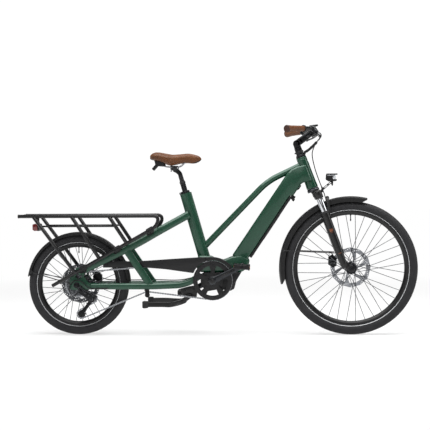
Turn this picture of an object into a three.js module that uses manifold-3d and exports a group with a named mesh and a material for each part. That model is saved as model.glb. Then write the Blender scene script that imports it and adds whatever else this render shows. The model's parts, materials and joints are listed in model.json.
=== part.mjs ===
// A longtail electric cargo bicycle, as separate named pieces.
// Millimetres. +X is the way it rides, +Y its left side, +Z up. The origin is on the ground, below
// the middle of its length. "right" is the drive side, at negative Y.
import * as THREE from "three";
import { mergeVertices } from "three/addons/utils/BufferGeometryUtils.js";
import Module from "manifold-3d";

const wasm = await Module();
wasm.setup();

// ---------------------------------------------------------------- driving dimensions
const GAP = 0.3; // clearance between two pieces that touch
const RIGHT = -1;
const LEFT = 1;

const FRONT_AXLE = { x: 670, z: 336.5 };
const FRONT_TYRE = { radius: 336.5, rim: 286, width: 57, spokes: 36 };
const REAR_AXLE = { x: -714, z: 257 };
const REAR_TYRE = { radius: 257, rim: 207, width: 54, spokes: 36 };
const ROTOR_RADIUS = 101.5;
const FRONT_ROTOR_Y = 42;
const REAR_ROTOR_Y = 54;
const RACK_END_X = -1006.5; // as far behind the origin as the front tyre reaches ahead of it

const STEER_TOP = { x: 422, z: 896 }; // centre of the head tube's top end
const STEER_TILT = THREE.MathUtils.degToRad(20); // head angle 70 degrees
const FORK_OFFSET = 13.5; // stanchions ahead of the steering axis
const LEG_Y = 68;
const STANCHION_R = 16;
const LEG_R = 21;

const SEAT_AXIS = { x: -137.7, z: 623.5, lean: 0.2867 }; // x falls by lean for each millimetre of height
const SEAT_TOP_Z = 718;

const BB = { x: -27, z: 277 }; // bottom bracket
const CRANK_LENGTH = 170;
const CRANK_ANGLE = THREE.MathUtils.degToRad(26.5); // right crank ahead and above level
const CHAIN_Y = -45;
const LINK = 12.7;
const CHAIN_HALF = 4.3; // half a link plate's height
const TEETH = { ring: 48, cog: 30, jockey: 11 };
const GUIDE_PULLEY = { x: -638, z: 187 };
const TENSION_PULLEY = { x: -696, z: 108 };
const CHAIN_ROLLER = { x: -359, z: 204, radius: 12.5 };

const STAY_Y = 78;
const RACK_Y = 103;
const RACK_Z = 606;
const RACK_R = 9;
const BAR = { x: 487, z: 1029, radius: 11 };
const ELBOW = { x: 399, z: 965 };
const KICKSTAND_PIVOT = { x: -146, z: 197 };

// ---------------------------------------------------------------- shape helpers
const V = (x, y, z) => new THREE.Vector3(x, y, z);
const P = (x, z) => new THREE.Vector2(x, z);
const pitchRadius = (teeth) => LINK / (2 * Math.sin(Math.PI / teeth));

// A point given ahead of the steering axis, sideways, and up along the axis from the head tube's top.
function steer(ahead, y, up) {
  const c = Math.cos(STEER_TILT);
  const s = Math.sin(STEER_TILT);
  return V(STEER_TOP.x + ahead * c - up * s, y, STEER_TOP.z + ahead * s + up * c);
}

// A point on the seat tube's axis at height z.
const seatAxis = (z) => V(SEAT_AXIS.x - (z - SEAT_AXIS.z) * SEAT_AXIS.lean, 0, z);

// A three.js geometry as a manifold solid.
function solid(geometry) {
  const bare = new THREE.BufferGeometry();
  bare.setAttribute("position", geometry.getAttribute("position"));
  if (geometry.index) bare.setIndex(geometry.index);
  const merged = mergeVertices(bare, 1e-3);
  const mesh = new wasm.Mesh({
    numProp: 3,
    vertProperties: merged.attributes.position.array,
    triVerts: new Uint32Array(merged.index.array),
  });
  const made = new wasm.Manifold(mesh);
  if (made.volume() <= 0) throw new Error("a shape is inside out");
  return made;
}

// Points along an arc, by angles in radians from +X towards +Z.
const arc = (centre, radius, from, to, count) =>
  Array.from({ length: count + 1 }, (_, i) => {
    const a = from + ((to - from) * i) / count;
    return P(centre.x + radius * Math.cos(a), centre.z + radius * Math.sin(a));
  });
const circle = (centre, radius, count) => arc(centre, radius, 0, Math.PI * 2, count).slice(0, -1);

const join = (...solids) => solids.reduce((all, one) => all.add(one));
const cut = (from, ...tools) => tools.reduce((all, one) => all.subtract(one), from);
const bothSides = (make) => join(make(RIGHT), make(LEFT));

// A frame along a bar: x across the bicycle, or forward for a bar that runs straight across it.
function barFrame(from, to) {
  const along = to.clone().sub(from).normalize();
  const side = Math.abs(along.y) > 0.999 ? V(1, 0, 0) : V(0, 1, 0);
  const across = side.addScaledVector(along, -side.dot(along)).normalize();
  const up = along.clone().cross(across);
  return new THREE.Matrix4().makeBasis(across, up, along).setPosition(from);
}

// A straight round bar, which may taper.
function rod(from, to, radius, sides = 12, endRadius = radius) {
  const length = from.distanceTo(to);
  const g = new THREE.CylinderGeometry(endRadius, radius, length, sides);
  g.rotateX(Math.PI / 2).translate(0, 0, length / 2);
  return solid(g.applyMatrix4(barFrame(from, to)));
}

const acrossRod = (x, z, y0, y1, radius, sides = 16) => rod(V(x, y0, z), V(x, y1, z), radius, sides);

// A straight bar with a rounded rectangular section: wide across the bicycle, deep in its plane.
function bar(from, to, wide, deep, corner) {
  const [w, d] = [wide / 2, deep / 2];
  const section = new THREE.Shape();
  section.absarc(w - corner, d - corner, corner, 0, Math.PI / 2);
  section.absarc(-w + corner, d - corner, corner, Math.PI / 2, Math.PI);
  section.absarc(-w + corner, -d + corner, corner, Math.PI, Math.PI * 1.5);
  section.absarc(w - corner, -d + corner, corner, Math.PI * 1.5, Math.PI * 2);
  const depth = from.distanceTo(to);
  const g = new THREE.ExtrudeGeometry(section, { depth, bevelEnabled: false, curveSegments: 1 });
  return solid(g.applyMatrix4(barFrame(from, to)));
}

// A path whose extrusion has one ring at each of its knots.
class KnotPath extends THREE.Curve {
  constructor(knots) {
    super();
    this.knots = knots;
  }
  getPoint(t) {
    const k = t * (this.knots.length - 1);
    const i = Math.min(Math.floor(k + 1e-9), this.knots.length - 2);
    return this.knots[i].clone().lerp(this.knots[i + 1], k - i);
  }
  getPointAt(u) {
    return this.getPoint(u);
  }
  getTangentAt(u) {
    const i = Math.round(u * (this.knots.length - 1));
    const after = this.knots[Math.min(i + 1, this.knots.length - 1)];
    return after.clone().sub(this.knots[Math.max(i - 1, 0)]).normalize();
  }
}

// The corners of a polyline, each rounded by a few knots.
function rounded(points, reach, count = 5) {
  const knots = [points[0]];
  for (let i = 1; i < points.length - 1; i++) {
    const corner = points[i];
    const start = corner.clone().add(points[i - 1].clone().sub(corner).setLength(reach));
    const end = corner.clone().add(points[i + 1].clone().sub(corner).setLength(reach));
    const bend = new THREE.QuadraticBezierCurve3(start, corner, end);
    knots.push(...bend.getPoints(count - 1));
  }
  knots.push(points[points.length - 1]);
  return knots;
}

// A tube through knots: wide is its radius across the bicycle, deep its radius in the knots' plane.
function tube(knots, wide, deep = wide, sides = 10) {
  const section = new THREE.Shape();
  section.absellipse(0, 0, wide, deep, 0, Math.PI * 2);
  const g = new THREE.ExtrudeGeometry(new THREE.Shape(section.getPoints(sides).slice(0, -1)), {
    steps: knots.length - 1,
    extrudePath: new KnotPath(knots),
    bevelEnabled: false,
  });
  return solid(g);
}

// A smooth curve's points, for a cable or a bent rod.
const smooth = (points, count) => new THREE.CatmullRomCurve3(points, false, "centripetal").getPoints(count);

// An outline in the bicycle's plane, made solid from y0 to y1, with its edges bevelled.
function plate(outline, y0, y1, bevel = 0, holes = []) {
  const shape = new THREE.Shape(outline);
  shape.holes = holes.map((hole) => new THREE.Path(hole));
  const g = new THREE.ExtrudeGeometry(shape, {
    depth: y1 - y0 - 2 * bevel,
    bevelEnabled: bevel > 0,
    bevelThickness: bevel,
    bevelSize: bevel,
    bevelOffset: -bevel,
    bevelSegments: 1,
  });
  return solid(g.rotateX(Math.PI / 2).translate(0, y1 - bevel, 0));
}

const box = (x0, x1, y0, y1, z0, z1) =>
  plate([P(x0, z0), P(x1, z0), P(x1, z1), P(x0, z1)], y0, y1);

// A profile of [radius, y] pairs turned about a line across the bicycle. It closes on itself or ends
// on the axis.
function turned(profile, centre, segments = 48) {
  const points = profile.map(([r, y]) => new THREE.Vector2(r, y));
  const g = new THREE.LatheGeometry(points, segments);
  return solid(g.translate(centre.x, 0, centre.z));
}

const ring = (inner, outer, y0, y1, centre, segments = 48) =>
  turned([[inner, y0], [outer, y0], [outer, y1], [inner, y1], [inner, y0]], centre, segments);

// A stretch of a flat ring, between two angles from +X towards +Z.
const sector = (centre, inner, outer, from, to, count) => [
  ...arc(centre, outer, from, to, count),
  ...arc(centre, inner, to, from, count),
];

// The path of a chain round wheels, shifted sideways. turn is 1 where it runs anticlockwise.
function beltPath(wheels, shift) {
  const signed = wheels.map((w) => w.turn * w.radius + shift);
  const headings = wheels.map((w, i) => {
    const j = (i + 1) % wheels.length;
    const span = wheels[j].centre.clone().sub(w.centre);
    return span.angle() - Math.asin((signed[j] - signed[i]) / span.length());
  });
  const points = [];
  wheels.forEach((w, i) => {
    const before = headings[(i + wheels.length - 1) % wheels.length];
    let sweep = headings[i] - before;
    const full = Math.PI * 2;
    sweep = w.turn > 0 ? ((sweep % full) + full) % full : -(((-sweep % full) + full) % full);
    const count = Math.max(2, Math.ceil(Math.abs(sweep) / 0.24));
    for (let k = 0; k <= count; k++) {
      const h = before + (sweep * k) / count;
      points.push(P(w.centre.x + Math.sin(h) * signed[i], w.centre.y - Math.cos(h) * signed[i]));
    }
  });
  return points;
}

// ---------------------------------------------------------------- wheels
function tyre(size, centre) {
  const half = (size.radius - size.rim - GAP) / 2;
  const profile = Array.from({ length: 9 }, (_, i) => {
    const a = (i * Math.PI) / 4;
    return [size.rim + GAP + half + half * Math.sin(a), (-size.width / 2) * Math.cos(a)];
  });
  return turned(profile, centre);
}

function rim(size, centre) {
  const [outer, inner] = [size.rim, size.rim - 17];
  const profile = [[outer, -14], [outer, 14], [inner, 7], [inner, -7]];
  return turned([...profile, profile[0]], centre);
}

// Hub shell and axle with straight spokes to alternate flanges. flanges are the two flange planes and
// ends the axle's two ends.
function spokedHub(size, centre, flanges, ends, shellRadius, flangeRadius) {
  const [f0, f1] = flanges;
  const profile = [
    [0, ends[0]], [7.5, ends[0]], [7.5, f0 - 5], [flangeRadius, f0 - 4], [flangeRadius, f0 + 4],
    [shellRadius, f0 + 8], [shellRadius, f1 - 8], [flangeRadius, f1 - 4], [flangeRadius, f1 + 4],
    [7.5, f1 + 5], [7.5, ends[1]], [0, ends[1]],
  ];
  const hub = turned(profile, centre, 16);
  const spokes = Array.from({ length: size.spokes }, (_, i) => {
    const angle = (i * Math.PI * 2) / size.spokes;
    const [c, s] = [Math.cos(angle), Math.sin(angle)];
    const at = (radius, y) => V(centre.x + c * radius, y, centre.z + s * radius);
    const flange = i % 2 ? f0 : f1;
    return rod(at(flangeRadius - 2, flange), at(size.rim - 18, flange > 0 ? 3 : -3), 1.4, 3);
  });
  return join(hub, ...spokes);
}

// A brake disc: a ring carried by six arms on a small carrier.
function rotor(centre, y) {
  const windows = Array.from({ length: 6 }, (_, i) =>
    sector(centre, 34, 76, ((i + 0.14) * Math.PI) / 3, ((i + 0.86) * Math.PI) / 3, 3),
  );
  return plate(circle(centre, ROTOR_RADIUS, 32), y - 1, y + 1, 0, [circle(centre, 9, 10), ...windows]);
}

// ---------------------------------------------------------------- frame
const headTubeShell = (grow = 0) => rod(steer(0, 0, -165), steer(0, 0, 0), 29.5 + grow, 24, 25.5 + grow);

const headTube = () => cut(headTubeShell(), rod(steer(0, 0, -170), steer(0, 0, 5), 17, 20));

const cradleOutline = [
  P(-108, 330), P(-112, 372), P(-100, 404), P(-38, 400), P(-10, 386), P(27, 381), P(69, 398),
  P(120, 408), P(161, 380), P(152, 345), P(122, 318), P(-92, 318),
];
const motorCradle = () => plate(cradleOutline, -38, 38, 5);
const grownCradle = () => plate(cradleOutline, -38 - GAP, 38 + GAP, 4.5);

// The battery lies along the down tube's underside: a body inside the tube and a cover below it.
const BATTERY_LOW = V(168, 0, 388);
const BATTERY_HIGH = V(375, 0, 696);
const BATTERY_DEPTH = 60;
const COVER_DEPTH = 13;
function batteryParts(grow) {
  const along = BATTERY_HIGH.clone().sub(BATTERY_LOW).normalize();
  const inward = V(-along.z, 0, along.x);
  const end = along.clone().multiplyScalar(grow);
  const span = (depth) => [
    BATTERY_LOW.clone().addScaledVector(inward, depth / 2).sub(end),
    BATTERY_HIGH.clone().addScaledVector(inward, depth / 2).add(end),
  ];
  return { body: span(BATTERY_DEPTH), cover: span(COVER_DEPTH) };
}

function batteryPack() {
  const { body, cover } = batteryParts(0);
  const latch = bar(V(372, 0, 684), V(384, 0, 702), 40, 22, 3);
  return join(bar(...body, 52, BATTERY_DEPTH, 4), bar(...cover, 70, COVER_DEPTH, 4), latch);
}

function downTube() {
  const outline = [
    P(69, 400), P(352, 818), P(372, 836), P(400, 850), P(446, 862), P(478, 775), P(426, 768),
    P(159, 379),
  ];
  const { body, cover } = batteryParts(1);
  const channel = join(
    bar(...body, 52 + 2 * GAP, BATTERY_DEPTH + 2 * GAP, 2),
    bar(...cover, 110, COVER_DEPTH + 2 * GAP, 1),
    bar(V(370, 0, 681), V(386, 0, 705), 42, 26, 2),
  );
  return cut(plate(outline, -37, 37, 9), channel, headTubeShell(GAP), grownCradle());
}

const seatTubeShell = (grow = 0) =>
  bar(seatAxis(392), seatAxis(SEAT_TOP_Z), 46 + 2 * grow, 59 + 2 * grow, 19);

const seatTube = () =>
  cut(seatTubeShell(), grownCradle(), rod(seatAxis(430), seatAxis(SEAT_TOP_Z + 20), 15.4, 20));

function topTube() {
  const path = rounded([V(-64, 0, 453), V(252, 0, 777), V(452, 0, 872)], 34, 6);
  const frontGap = plate(
    [P(66, 400), P(350, 821), P(371, 839), P(399, 853), P(447, 865), P(480, 775), P(426, 760), P(159, 370)],
    -37 - GAP, 37 + GAP, 8,
  );
  return cut(tube(path, 15.5), seatTubeShell(GAP), frontGap, headTubeShell(GAP));
}

const staySide = (side) => [
  V(-146, side * 36, 612), V(-300, side * 56, 528), V(-425, side * 70, 458), V(-560, side * STAY_Y, 391),
  V(-705, side * STAY_Y, 322),
];

const chainstayPath = (side) =>
  rounded(
    [
      V(-640, side * STAY_Y, 251), V(-320, side * STAY_Y, 251), V(-196, side * 36, 253),
      V(-142, side * 27, 268), V(-92, side * 25, 300),
    ],
    24, 3,
  );

// Upper stay with its strut down to the chainstay and the plate that carries the rear axle.
function upperStay(side) {
  const dropout = [
    P(-752, 242), P(-750, 282), P(-738, 318), P(-712, 345), P(-668, 352), P(-676, 300), P(-655, 270),
    P(-640.5, 267), P(-640.5, 235), P(-735, 232),
  ];
  const [y0, y1] = [side * 74, side * 82].sort((a, b) => a - b);
  const strut = bar(V(-465, side * 73, 440), V(-340, side * STAY_Y, 257), 20, 36, 7);
  const whole = join(tube(staySide(side), 12, 19), plate(dropout, y0, y1, 1), strut);
  return cut(whole, seatTubeShell(GAP), tube(chainstayPath(side), 12 + GAP, 16 + GAP));
}

const chainstay = (side) =>
  cut(tube(chainstayPath(side), 12, 16), grownCradle(), acrossRod(BB.x, BB.z, -60, 60, 66));

function driveMotor() {
  const corners = [P(0, 231), P(60, 226), P(80, 232), P(90, 270), P(118, 317.5)];
  const outline = [...arc(BB, 62, Math.PI * 0.7735, Math.PI * 1.35, 10), ...corners];
  const bearingBoss = acrossRod(BB.x, BB.z, -42.5, 42.5, 30);
  const spindleBore = acrossRod(BB.x, BB.z, -60, 60, 10);
  return cut(join(plate(outline, -40, 40, 6), bearingBoss), spindleBore, grownCradle());
}

function kickstandMount() {
  const outline = [P(-196, 232), P(-150, 244), P(-104, 250), P(-112, 188), P(-138, 186), P(-186, 210)];
  const pivot = acrossRod(KICKSTAND_PIVOT.x, KICKSTAND_PIVOT.z, -60, 60, 8 + GAP);
  const stays = bothSides((side) => tube(chainstayPath(side), 12 + GAP, 16 + GAP));
  return cut(plate(outline, -20, 20, 3), pivot, stays, acrossRod(BB.x, BB.z, -60, 60, 66));
}

// A wide two-legged stand, folded back. Its arms pass below the chain on their way out.
function kickstandLegs() {
  const { x, z } = KICKSTAND_PIVOT;
  const leg = (side) =>
    join(
      bar(V(x, side * 27, z), V(-180, side * 27, 170), 14, 22, 4),
      bar(V(-174, side * 22, 171), V(-246, side * 128, 161), 14, 18, 4),
      bar(V(-234, side * 128, 163), V(-362, side * 130, 163), 12, 25, 4),
      box(-375, -357, side * 130 - 10, side * 130 + 10, 146, 178),
    );
  return join(acrossRod(x, z, -35, 35, 8), bothSides(leg));
}

// ---------------------------------------------------------------- rack
const rackRailPath = (side) =>
  rounded(
    [
      V(RACK_END_X, side * RACK_Y, RACK_Z), V(-292, side * RACK_Y, RACK_Z), V(-303, side * RACK_Y, 554),
      V(-835, side * RACK_Y, 255),
    ],
    30, 5,
  );
const rackRail = (side, grow = 0) => tube(rackRailPath(side), RACK_R + grow, RACK_R + grow, 8);

function rackStruts(side) {
  const y = side * RACK_Y;
  const feet = [[-928, -716, 318], [-734, -596, 396], [-544, -457, 472]];
  const strut = ([topX, footX, footZ]) => rod(V(topX, y, RACK_Z - 2), V(footX, y, footZ), RACK_R - 1, 8);
  const pannierRail = rod(V(-892, side * 96, 555), V(-512, side * 96, 555), 4.5, 6);
  return cut(join(...feet.map(strut), pannierRail), rackRail(side, GAP));
}

// Cross tubes and slats between the two side rails.
function rackDeck() {
  const reach = RACK_Y - RACK_R - GAP;
  const crossings = [-985, -925, -735, -540, -335];
  const cross = crossings.map((x) => rod(V(x, -reach, RACK_Z), V(x, reach, RACK_Z), 6, 6));
  const slats = [-48, 0, 48].map((y) => bar(V(-985, y, RACK_Z + 7.5), V(-335, y, RACK_Z + 7.5), 18, 4, 1));
  return join(...cross, ...slats);
}

function tailLight() {
  const lamp = plate([P(-945, 532), P(-945, 565), P(-912, 565), P(-909, 545), P(-918, 530)], -38, 38, 3);
  const arm = box(-932, -918, -8, 8, 560, RACK_Z - 6 - GAP);
  return join(lamp, arm);
}

// ---------------------------------------------------------------- mudguards
// A thin arc over a tyre, with turned-down edges, between two angles in degrees.
function mudguardBand(centre, outer, half, fromDegrees, toDegrees) {
  const [from, to] = [fromDegrees, toDegrees].map(THREE.MathUtils.degToRad);
  const lip = sector(centre, outer - 14, outer - 1, from, to, 16);
  return join(
    plate(sector(centre, outer - 3, outer, from, to, 16), -half, half),
    plate(lip, half - 2.5, half),
    plate(lip, -half, -half + 2.5),
  );
}

function frontMudguard() {
  const stay = (side) =>
    join(
      rod(V(324, side * 31, 427), V(342, side * 38, 426), 2.6, 6),
      rod(V(340, side * 37.5, 426), V(588, side * 60, 415), 2.6, 6),
    );
  return join(mudguardBand(FRONT_AXLE, 363.3, 33, 76.5, 193), bothSides(stay));
}

function rearMudguard() {
  const stay = (side) => rod(V(-966, side * 33, 322), V(-758, side * 76, 268), 2.6, 6);
  return join(mudguardBand(REAR_AXLE, 267, 33, 3, 171), bothSides(stay));
}

// ---------------------------------------------------------------- drive
const wheelOf = (centre, teeth, turn) => ({
  centre: P(centre.x, centre.z),
  radius: pitchRadius(teeth),
  turn,
});
const chainWheels = [
  wheelOf(BB, TEETH.ring, 1),
  wheelOf(REAR_AXLE, TEETH.cog, 1),
  wheelOf(GUIDE_PULLEY, TEETH.jockey, -1),
  wheelOf(TENSION_PULLEY, TEETH.jockey, 1),
  { centre: P(CHAIN_ROLLER.x, CHAIN_ROLLER.z), radius: CHAIN_ROLLER.radius + CHAIN_HALF + GAP, turn: -1 },
];

function chain() {
  const hole = beltPath(chainWheels, -CHAIN_HALF);
  return plate(beltPath(chainWheels, CHAIN_HALF), CHAIN_Y - 3.2, CHAIN_Y + 3.2, 0, [hole]);
}

const cogRadius = (teeth) => pitchRadius(teeth) - CHAIN_HALF - 0.8;

// Toothed ring, its outer guard disc and a five-armed spider, bored for the spindle.
function chainring() {
  const windows = Array.from({ length: 5 }, (_, i) => {
    const [a, b] = [i + 0.17, i + 0.83].map((k) => (k * Math.PI * 2) / 5 + 0.3);
    return sector(BB, 40, 78, a, b, 4);
  });
  const guard = plate(circle(BB, 98, 40), CHAIN_Y - 8, CHAIN_Y - 5, 0, windows);
  const teeth = ring(79, cogRadius(TEETH.ring), CHAIN_Y - 5.5, CHAIN_Y + 1.5, BB, 40);
  const boss = acrossRod(BB.x, BB.z, CHAIN_Y - 10, CHAIN_Y + 2, 24);
  return cut(join(guard, teeth, boss), acrossRod(BB.x, BB.z, -80, 0, 9 + GAP));
}

// One crank arm; the right one carries the spindle.
function crank(side) {
  const angle = side === RIGHT ? CRANK_ANGLE : CRANK_ANGLE + Math.PI;
  const [x, z] = [BB.x + CRANK_LENGTH * Math.cos(angle), BB.z + CRANK_LENGTH * Math.sin(angle)];
  const inner = side === RIGHT ? 56 : 44;
  const arm = bar(V(BB.x, side * 71, BB.z), V(x, side * 80, z), 14, 28, 5);
  const hubBoss = acrossRod(BB.x, BB.z, side * inner, side * 80, 20);
  const pedalBoss = acrossRod(x, z, side * 73, side * 88, 15);
  const spindleHole = acrossRod(BB.x, BB.z, 40, 82, 9 + GAP);
  const body = join(arm, hubBoss, pedalBoss);
  return side === RIGHT ? join(body, acrossRod(BB.x, BB.z, -72, 76, 9)) : cut(body, spindleHole);
}

function pedal(side) {
  const angle = side === RIGHT ? CRANK_ANGLE : CRANK_ANGLE + Math.PI;
  const [x, z] = [BB.x + CRANK_LENGTH * Math.cos(angle), BB.z + CRANK_LENGTH * Math.sin(angle)];
  const tilt = side === RIGHT ? 0.1 : 0.05;
  const [dx, dz] = [38 * Math.cos(tilt), 38 * Math.sin(tilt)];
  const platform = bar(V(x - dx, side * 146, z + dz), V(x + dx, side * 146, z - dz), 96, 30, 9);
  return join(platform, acrossRod(x, z, side * (88 + GAP), side * 104, 8));
}

function chainGuard() {
  const outline = [
    P(-582, 344), P(-382, 345), P(-263, 335),
    ...arc(BB, 103.5, Math.PI * 0.88, Math.PI * 0.14, 14),
    ...arc(BB, 119.5, Math.PI * 0.14, Math.PI * 0.52, 8),
    P(-100, 395), P(-383, 378), P(-582, 374),
  ];
  const hanger = rod(V(-84, -56, 387), V(-84, -38 - GAP, 387), 4, 8);
  return join(plate(outline, -60, -53.5, 1.5), hanger);
}

// The roller that lifts the chain's lower run, on a bracket below the right chainstay.
function chainRoller() {
  const { x, z, radius } = CHAIN_ROLLER;
  const roller = acrossRod(x, z, CHAIN_Y - 4, CHAIN_Y + 4, radius);
  const cheek = bar(V(x, -51, z - 6), V(x, -51, 233), 4, 22, 1.5);
  const foot = box(x - 11, x + 11, -84, -49, 228, 234.5);
  return join(roller, cheek, foot, acrossRod(x, z, CHAIN_Y - 7, CHAIN_Y, 5));
}

function cassette() {
  const cog = cogRadius(TEETH.cog);
  const profile = [
    [17.6, -62], [26, -62], [27, -54], [40, -52], [41, -49.5], [28, -49], [28, -47], [cog, -47], [cog, -43],
    [28, -43], [28, -41], [66, -40.5], [66, -38], [17.6, -37.5], [17.6, -62],
  ];
  return turned(profile, REAR_AXLE, 20);
}

function rearHub() {
  const hub = spokedHub(REAR_TYRE, REAR_AXLE, [-24, 34], [-73.7, 73.7], 17, 30);
  const freehub = acrossRod(REAR_AXLE.x, REAR_AXLE.z, -66, -24, 17);
  const discSeat = acrossRod(REAR_AXLE.x, REAR_AXLE.z, 34, REAR_ROTOR_Y - 1 - GAP, 20);
  return join(hub, freehub, discSeat);
}

function derailleurBody() {
  const link = bar(V(-697, -93, 240), V(-642, -93, 196), 18, 26, 6);
  const knuckle = acrossRod(GUIDE_PULLEY.x, GUIDE_PULLEY.z, -98, -53 - GAP, 18);
  const hanger = acrossRod(-697, 243, -98, -82 - GAP, 9);
  return join(link, knuckle, hanger);
}

function derailleurCage() {
  const [a, b] = [GUIDE_PULLEY, TENSION_PULLEY];
  const plateAt = (y) =>
    join(
      bar(V(a.x, y, a.z), V(b.x, y, b.z), 2, 20, 0.8),
      acrossRod(a.x, a.z, y - 1, y + 1, 13, 12),
      acrossRod(b.x, b.z, y - 1, y + 1, 16, 12),
    );
  const pulley = (w) =>
    join(
      acrossRod(w.x, w.z, CHAIN_Y - 2, CHAIN_Y + 2, cogRadius(TEETH.jockey), 12),
      acrossRod(w.x, w.z, -52, -38, 4, 6),
    );
  return join(plateAt(-52), plateAt(-38), pulley(a), pulley(b));
}

// ---------------------------------------------------------------- seat
function seatClamp() {
  const [low, high] = [seatAxis(SEAT_TOP_Z + 1), seatAxis(SEAT_TOP_Z + 13)];
  const bolt = acrossRod(low.x - 20, SEAT_TOP_Z + 9, -12, 12, 4.5, 8);
  const bore = rod(seatAxis(SEAT_TOP_Z - 9), seatAxis(SEAT_TOP_Z + 30), 15, 16);
  return cut(join(rod(low, high, 20, 16), bolt), bore);
}

function seatpost() {
  return join(
    rod(seatAxis(500), seatAxis(776), 14, 20),
    rod(seatAxis(770), seatAxis(816), 11, 16),
    rod(seatAxis(806), V(-214, 0, 838), 11, 16),
    bar(V(-240, 0, 843), V(-200, 0, 839), 40, 9, 3),
    acrossRod(-218, 834, -18, 18, 9),
  );
}

// Steel rails under the saddle, the rear bracket with its lifting hook and the nose block.
function saddleRails() {
  const rail = (side) =>
    tube(
      smooth(
        [
          V(-318, side * 34, 884), V(-290, side * 28, 866), V(-262, side * 22, 853.5),
          V(-225, side * 22, 852), V(-190, side * 22, 855), V(-172, side * 16, 870),
          V(-150, side * 9, 884), V(-128, side * 5, 886),
        ],
        9,
      ),
      3.5, 3.5, 5,
    );
  const bracket = plate([P(-322, 889), P(-272, 889), P(-268, 854), P(-300, 856), P(-316, 868)], -42, 42, 3);
  const hook = bar(V(-304, 0, 866), V(-331, 0, 838), 34, 16, 4);
  const nose = box(-138, -112, -12, 12, 878, 890);
  return join(bothSides(rail), bracket, hook, nose);
}

function saddle() {
  const side = [
    P(-342, 892), P(-334, 912), P(-315, 926), P(-290, 925), P(-237, 914), P(-190, 917), P(-150, 920),
    P(-94, 906), P(-82, 891), P(-95, 880), P(-123, 872), P(-167, 877), P(-205, 868), P(-243, 861),
    P(-268, 871), P(-290, 885), P(-330, 889),
  ];
  const half = [
    [-342, 60], [-332, 82], [-312, 94], [-285, 94], [-250, 78], [-215, 50], [-180, 33], [-130, 24],
    [-95, 20], [-83, 10],
  ];
  const top = [...half.map(([x, y]) => P(x, y)), ...half.reverse().map(([x, y]) => P(x, -y))];
  const g = new THREE.ExtrudeGeometry(new THREE.Shape(top.reverse()), { depth: 90, bevelEnabled: false });
  const footprint = solid(g.translate(0, 0, 850));
  const hollow = plate(
    [P(-327, 850), P(-327, 896), P(-262, 903), P(-180, 903), P(-108, 893), P(-108, 850)],
    -46, 46, 4,
  );
  const sideWalls = cut(plate(side, -100, 100), hollow);
  return sideWalls.intersect(footprint);
}

// ---------------------------------------------------------------- fork
function forkCrown() {
  const shoulder = (side) =>
    join(
      rod(steer(FORK_OFFSET, side * LEG_Y, -226), steer(FORK_OFFSET, side * LEG_Y, -183), 22, 16),
      rod(steer(FORK_OFFSET, side * LEG_Y, -420), steer(FORK_OFFSET, side * LEG_Y, -200), STANCHION_R, 16),
    );
  const bridge = bar(steer(8, 0, -204), steer(8, 0, -183), 2 * LEG_Y, 46, 14);
  return join(
    rod(steer(0, 0, -190), steer(0, 0, -60), 14.3, 20),
    rod(steer(0, 0, -190), steer(0, 0, -165 - GAP), 27, 24),
    bridge,
    bothSides(shoulder),
  );
}

// Both sliding legs, the axle lugs and the arch that joins them over the tyre.
const forkLeg = (y, grow = 0) =>
  join(
    rod(steer(FORK_OFFSET, y, -470), steer(FORK_OFFSET, y, -303), LEG_R + grow, 16),
    rod(steer(FORK_OFFSET, y, -590), steer(FORK_OFFSET, y, -470), 17 + grow, 16, LEG_R + grow),
  );

function forkLowers() {
  const leg = (side) =>
    join(
      forkLeg(side * LEG_Y),
      bar(steer(FORK_OFFSET, side * 66, -572), steer(42, side * 64, -612), 22, 26, 6),
      acrossRod(FRONT_AXLE.x, FRONT_AXLE.z, side * 52, side * 78, 16),
    );
  const bore = (side) =>
    rod(
      steer(FORK_OFFSET, side * LEG_Y, -456), steer(FORK_OFFSET, side * LEG_Y, -290),
      STANCHION_R + GAP, 16,
    );
  const half = [[24, 64, -322], [36, 60, -298], [45, 53, -268], [51, 45, -247], [53.5, 32, -238]];
  const right = half.map(([ahead, y, up]) => steer(ahead, -y, up));
  const left = half.map(([ahead, y, up]) => steer(ahead, y, up)).reverse();
  const arch = tube([...right, steer(53.8, 0, -236.5), ...left], 9.5, 8, 8);
  return cut(join(bothSides(leg), arch), bothSides(bore));
}

function headlight() {
  const outline = [
    P(543, 784), P(547, 811), P(560, 814), P(600, 814), P(604, 806), P(600, 775), P(560, 773),
  ];
  const strut = (side) => rod(steer(41, side * 8, -191), V(575, side * 8, 776), 3, 8);
  const base = rod(steer(36.5, 0, -194), steer(43.6, 0, -194), 9, 12);
  return join(plate(outline, -26, 26, 5), bothSides(strut), base);
}

// ---------------------------------------------------------------- steering
// Where the quill's round part ends, below the tongue that the stem arm's ears straddle.
const QUILL_END = V(405, 0, 944);

const quillCup = (grow = 0) => rod(steer(0, 0, GAP), steer(0, 0, 14 + grow), 25 + grow, 20, 21 + grow);

function stemQuill() {
  return join(
    quillCup(),
    rod(steer(0, 0, 10), QUILL_END, 19, 16),
    bar(steer(0, 0, 40), V(ELBOW.x, 0, ELBOW.z), 22, 34, 4),
    acrossRod(ELBOW.x, ELBOW.z, -11, 11, 18),
  );
}

function stemArm() {
  const along = V(BAR.x - ELBOW.x, 0, BAR.z - ELBOW.z).normalize();
  const at = (distance, y) => V(ELBOW.x, y, ELBOW.z).addScaledVector(along, distance);
  const ear = (side) =>
    join(
      acrossRod(ELBOW.x, ELBOW.z, side * (11 + GAP), side * 22, 18),
      bar(at(0, side * 16.65), at(30, side * 16.65), 10.7, 34, 1),
    );
  const body = join(bar(at(20, 0), at(105, 0), 44, 34, 7), acrossRod(BAR.x, BAR.z, -22, 22, 19));
  return cut(join(bothSides(ear), body), acrossRod(BAR.x, BAR.z, -60, 60, 14 + GAP));
}

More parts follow.
